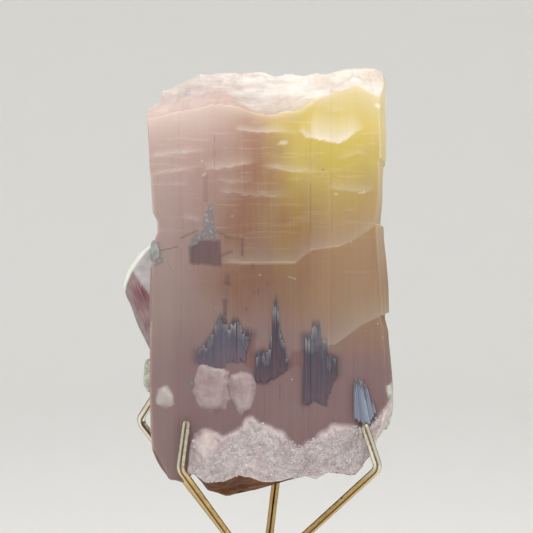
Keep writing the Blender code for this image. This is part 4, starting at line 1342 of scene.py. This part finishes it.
def side_crystal(material):
    """A short six-sided crystal that leans out of the left side, broken off aslant at its tip."""
    grid = side_rings()
    radial = grid - np.array((0.0, 0.0, 1.0)) * grid[..., 2:]
    radial = radial / np.maximum(1e-6, np.linalg.norm(radial, axis=-1, keepdims=True))
    grid = grid + radial * total(SIDE_CRYSTAL_RELIEFS, *np.moveaxis(grid, -1, 0))[..., None]
    turn = np.array(SIDE_CRYSTAL_LEAN.to_matrix())
    world = grid @ turn.T + np.array(SIDE_CRYSTAL_ROOT) + np.array((SPECIMEN_X, 0.0, 0.0))
    made = mesh_from_grid("side_crystal", world, side_masks(world[..., 0], world[..., 2]))
    smooth(made, SIDE_SHARP_ANGLE)
    part_of_stone(made, material)


def spray(name, material):
    """A bundle of thin needles, side by side, that end at uneven heights."""
    count, blue, proud, (lean_first, lean_last), tops, feet = SPRAYS[name]
    chance = random.Random(SPRAY_SEED + count)
    build = bmesh.new()
    layers = [build.verts.layers.float.new(mask) for mask in ("along", "shade", "blue")]
    pitch = (tops[-1][0] - tops[0][0]) / (count - 1)
    for n in range(count):
        x = tops[0][0] + pitch * (n + chance.uniform(*NEEDLE_JITTER))
        lean = lean_first + (lean_last - lean_first) * n / (count - 1)
        foot = float(along(feet, x)) - chance.uniform(0.0, NEEDLE_RAGGED)
        length = float(along(tops, x)) - foot - chance.uniform(0.0, 1.0) ** 2 * 2.0 * NEEDLE_RAGGED
        width = NEEDLE_OVERLAP * pitch * chance.uniform(*NEEDLE_WIDTHS)
        stands = proud * chance.uniform(*NEEDLE_STANDS)
        created = bmesh.ops.create_cone(
            build, cap_ends=True, segments=6, radius1=0.5, radius2=0.5, depth=1.0,
            matrix=Matrix.Translation((0.0, 0.0, 0.5)),
        )["verts"]
        slant = chance.uniform(*NEEDLE_SLANTS)
        tint = (chance.uniform(0.0, 1.0), blue * chance.uniform(0.5, 1.0))
        face = FRONT_PLANE - LEDGE_OFFSETS_FRONT[0] - stands
        place = Matrix.Translation((x + SPECIMEN_X, face + NEEDLE_DEPTH * NEEDLE_BURIED, foot))
        place @= Matrix.Rotation(lean, 4, "Y") @ Matrix.Diagonal((width, NEEDLE_DEPTH, length, 1.0))
        for vert in created:
            vert[layers[0]] = round(vert.co.z)
            vert[layers[1]], vert[layers[2]] = tint
            if vert.co.z > 0.5:
                vert.co.z += slant * vert.co.x * width / length
                vert.co.x *= NEEDLE_TAPER
                vert.co.y *= NEEDLE_TAPER
            vert.co = place @ vert.co
    part_of_stone(object_from(build, name), material)


def lumps(material):
    """Rough pale grains of the matrix at the edges of the crystal."""
    for index, (name, (centre, half)) in enumerate(LUMPS.items()):
        build = bmesh.new()
        bmesh.ops.create_icosphere(build, subdivisions=5, radius=1.0)
        places = np.array([vert.co for vert in build.verts])
        reliefs = [Relief(height, size, seed + index) for height, size, seed in LUMP_BUMPS]
        for vert, bump in zip(build.verts, total(reliefs, *places.T)):
            vert.co = Vector(vert.co * (1.0 + bump)) * Vector(half) + Vector(centre)
            vert.co.x += SPECIMEN_X
        lump = object_from(build, name)
        smooth(lump, LUMP_SHARP_ANGLE)
        part_of_stone(lump, material)


def grain_shapes():
    """Small angular solids: the hulls of random points on a ball."""
    chance = random.Random(CRUST_SEED)
    shapes = []
    for _ in range(CRUST_GRAIN_SHAPES):
        build = bmesh.new()
        for _ in range(CRUST_GRAIN_CORNERS):
            spot = Vector([chance.gauss(0.0, 1.0) for _ in range(3)]).normalized()
            build.verts.new(spot * chance.uniform(*CRUST_GRAIN_RADII))
        bmesh.ops.convex_hull(build, input=build.verts[:])
        loose = [vert for vert in build.verts if not vert.link_faces]
        bmesh.ops.delete(build, geom=loose, context="VERTS")
        build.verts.index_update()
        points = np.array([vert.co for vert in build.verts])
        shapes.append((points, [[vert.index for vert in face.verts] for face in build.faces]))
        build.free()
    return shapes


def grain_spots(chance):
    """Where the grains lie on the crust, as x and height, and their sizes."""
    spots = []
    for _ in range(CRUST_GRAINS):
        size = chance.uniform(*CRUST_GRAIN_SIZES)
        x = chance.uniform(*CRUST_GRAIN_SPAN)
        low = float(along(FOOT_EDGE, x)) + CRUST_GRAIN_LIFT * size
        high = float(along(CRUST_LINE, x)) + chance.uniform(*CRUST_GRAIN_FRINGE)
        if low < high:
            spots.append((x, chance.uniform(low, high), size))
    return np.array(spots).T


def crust_grains(material):
    """Sugary grains strewn over the crust at the foot of the front face."""
    shapes = grain_shapes()
    chance = random.Random(CRUST_SEED + 1)
    x, z, sizes = grain_spots(chance)
    proud = ledge_offset(x, z) + front_relief(x, z) + crust_cover(x, z) * crust_rise(x, z)
    y = FRONT_PLANE - proud + sizes * CRUST_GRAIN_SUNK
    middles = np.column_stack([x + edge_shift(x, z) + SPECIMEN_X, y, z])
    points, faces, shades = [], [], []
    for middle, size in zip(middles, sizes):
        shape, hull = chance.choice(shapes)
        turn = Quaternion([chance.gauss(0.0, 1.0) for _ in range(4)]).normalized().to_matrix()
        faces += [[len(points) + corner for corner in face] for face in hull]
        points += (shape @ np.array(turn).T * size + middle).tolist()
        shades += [chance.random()] * len(shape)
    mesh = bpy.data.meshes.new("crust_grains")
    mesh.from_pydata(points, [], faces)
    add_mask(mesh, "shade", shades)
    part_of_stone(linked("crust_grains", mesh), material)


# Stand
def bent_path(corners):
    """The corners as one path whose inner corners are rounded by arcs."""
    path = [corners[0]]
    for before, corner, after in zip(corners, corners[1:], corners[2:]):
        back, ahead = (before - corner).normalized(), (after - corner).normalized()
        half_angle = back.angle(ahead) / 2.0
        shorter = min((before - corner).length, (after - corner).length)
        reach = min(BEND_RADIUS / math.tan(half_angle), BEND_LONGEST_SHARE * shorter)
        centre = corner + (back + ahead).normalized() * reach / math.cos(half_angle)
        start = corner + back * reach - centre
        end = corner + ahead * reach - centre
        sweep = start.angle(end)
        for n in range(BEND_STEPS + 1):
            first = math.sin((1.0 - n / BEND_STEPS) * sweep) / math.sin(sweep)
            second = math.sin(n / BEND_STEPS * sweep) / math.sin(sweep)
            path.append(centre + start * first + end * second)
    return [*path, corners[-1]]


def wire_path(quadrant, bend, tip):
    """From the foot on the table up through the bundle, out to the bend and up the prong."""
    plan = Vector((*quadrant, 0.0))
    table = Vector((0.0, 0.0, WIRE_SIDE / 2.0))
    bundle = plan * BUNDLE_OFFSET
    up = Vector((0.0, 0.0, 1.0))
    path = bent_path([
        plan * FOOT_END + table,
        plan * FOOT_BEND + table,
        bundle + up * BUNDLE_FOOT,
        bundle + up * BUNDLE_TOP,
        Vector(bend),
        Vector(tip),
    ])
    shoulder = path[-1] + (path[-2] - path[-1]).normalized() * PRONG_SHOULDER
    return [*path[:-1], shoulder, path[-1]]


def close_steps(path):
    """The path with points added so that none are further apart than WIRE_STEP."""
    close = [path[0]]
    for start, end in zip(path, path[1:]):
        spans = max(1, math.ceil((end - start).length / WIRE_STEP))
        close += [start.lerp(end, n / spans) for n in range(1, spans + 1)]
    return close


def poly_curve(name, points, cyclic):
    """A curve object of one spline of straight pieces through the points."""
    curve = bpy.data.curves.new(name, "CURVE")
    spline = curve.splines.new("POLY")
    spline.points.add(len(points) - 1)
    for point, spot in zip(spline.points, points):
        point.co = (*spot, 1.0)
    spline.use_cyclic_u = cyclic
    return linked(name, curve)


def wire_profile():
    """The wire's square section, clockwise: its points and which of them are on its edges."""
    inner = WIRE_SIDE / 2.0 - WIRE_EDGE_RADIUS
    points, edges = [], []
    for turn in range(4):
        around = Matrix.Rotation(-turn * math.pi / 2.0, 3, "Z")
        for n in range(4):
            angle = math.pi / 2.0 - n / 3 * math.pi / 2.0
            round_off = Vector((math.cos(angle), math.sin(angle), 0.0)) * WIRE_EDGE_RADIUS
            points.append(around @ (Vector((inner, inner, 0.0)) + round_off))
            edges.append(1.0)
        for share in (0.5, 0.0, -0.5):
            points.append(around @ Vector((WIRE_SIDE / 2.0, inner * share, 0.0)))
            edges.append(0.0)
    return points, edges


def swept(name, path, profile):
    """A mesh of the profile swept along the path, narrower at its last point."""
    guide = poly_curve(name, path, False)
    guide.data.dimensions = "3D"
    guide.data.bevel_mode = "OBJECT"
    guide.data.bevel_object = profile
    guide.data.use_fill_caps = True
    guide.data.twist_mode = "MINIMUM"
    guide.data.splines[0].points[-1].radius = PRONG_TIP_SHARE
    bpy.context.view_layer.update()
    evaluated = guide.evaluated_get(bpy.context.evaluated_depsgraph_get())
    mesh = bpy.data.meshes.new_from_object(evaluated)
    bpy.data.objects.remove(guide, do_unlink=True)
    return mesh


def dent(mesh):
    """The small dents of the wire's hammering; its foot stays flat on the table."""
    places = np.array([vert.co for vert in mesh.vertices])
    normals = np.array([vert.normal for vert in mesh.vertices])
    places = places + normals * WIRE_DENTS.at(*places.T)[:, None]
    places[:, 2] = np.maximum(places[:, 2], 0.0)
    mesh.vertices.foreach_set("co", places.reshape(-1))


def stand_wires(material):
    """Each wire swept along its bent path, with its edges marked for the material's painted dark
    reflection.
    """
    section, edges = wire_profile()
    profile = poly_curve("wire section", section, True)
    profile.data.dimensions = "2D"
    profile.data.fill_mode = "NONE"
    for name, (quadrant, bend, tip) in WIRES.items():
        mesh = swept(name + " guide", close_steps(wire_path(quadrant, bend, tip)), profile)
        dent(mesh)
        add_mask(mesh, "edge", np.resize(edges, len(mesh.vertices)))
        wire = linked(name + "_wire", mesh)
        smooth(wire, WIRE_SHARP_ANGLE)
        wire.data.materials.clear()
        wire.data.materials.append(material)
        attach(wire, "root")
        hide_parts(name)
    bpy.data.objects.remove(profile, do_unlink=True)


# Studio
def studio():
    """A pale floor that curves up all round, far outside the view."""
    rings = [(SWEEP_FLAT * n / SWEEP_FLAT_RINGS, 0.0) for n in range(1, SWEEP_FLAT_RINGS + 1)]
    for n in range(1, SWEEP_CURVE_RINGS + 1):
        turn = n / SWEEP_CURVE_RINGS * math.pi / 2.0
        rise = SWEEP_CURVE * (1.0 - math.cos(turn))
        rings.append((SWEEP_FLAT + SWEEP_CURVE * math.sin(turn), rise))
    rings.append((SWEEP_FLAT + SWEEP_CURVE, SWEEP_HEIGHT))
    points = [
        (radius * math.cos(angle), radius * math.sin(angle), height)
        for radius, height in rings
        for angle in np.arange(SWEEP_SIDES) * math.tau / SWEEP_SIDES
    ]
    index = np.arange(len(points)).reshape(len(rings), SWEEP_SIDES)
    quads = [quad[::-1] for quad in tube_quads(index)]
    mesh = bpy.data.meshes.new("floor")
    mesh.from_pydata(points, [], [*quads, index[0].tolist()])
    mesh.shade_smooth()
    make = Nodes("pale floor")
    mesh.materials.append(make.finish(Base_Color=FLOOR_COLOUR, Roughness=FLOOR_ROUGHNESS))
    floor = linked("floor", mesh)


def lighting():
    """Pale air and three soft lights."""
    world = bpy.data.worlds.new("studio air")
    world.use_nodes = True
    background = world.node_tree.nodes["Background"]
    background.inputs["Color"].default_value = AIR_COLOUR
    background.inputs["Strength"].default_value = AIR_STRENGTH
    bpy.context.scene.world = world
    for name, (place, aim, size, power) in LIGHTS.items():
        light = bpy.data.lights.new(name, "AREA")
        light.shape = "RECTANGLE"
        light.size, light.size_y = size
        light.energy = power
        lamp = linked(name, light)
        lamp.location = place
        lamp.rotation_euler = (Vector(aim) - Vector(place)).to_track_quat("-Z", "Y").to_euler()


def camera():
    data = bpy.data.cameras.new("camera")
    data.lens = CAMERA_LENS
    data.sensor_width = CAMERA_SENSOR
    made = linked("camera", data)
    made.location = CAMERA_PLACE
    made.rotation_euler = (math.pi / 2.0, 0.0, 0.0)
    bpy.context.scene.camera = made


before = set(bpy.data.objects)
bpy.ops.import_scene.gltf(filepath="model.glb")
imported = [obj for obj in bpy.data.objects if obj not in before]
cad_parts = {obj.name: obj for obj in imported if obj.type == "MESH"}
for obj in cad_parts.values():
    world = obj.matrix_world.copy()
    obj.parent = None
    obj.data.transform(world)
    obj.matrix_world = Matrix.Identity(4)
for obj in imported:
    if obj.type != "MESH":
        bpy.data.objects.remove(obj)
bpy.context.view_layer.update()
bpy.context.scene.view_settings.view_transform = "Standard"
camera()
lighting()
studio()
crystal_body(body_material(), foot_material())
side_crystal(side_material())
blades = blade_material()
for spray_name in SPRAYS:
    spray(spray_name, blades)
lumps(matrix_material())
crust_grains(grain_material())
brass = brass_material()
stand_wires(brass)
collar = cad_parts["stand_collar"]
collar.data.materials.clear()
collar.data.materials.append(brass)
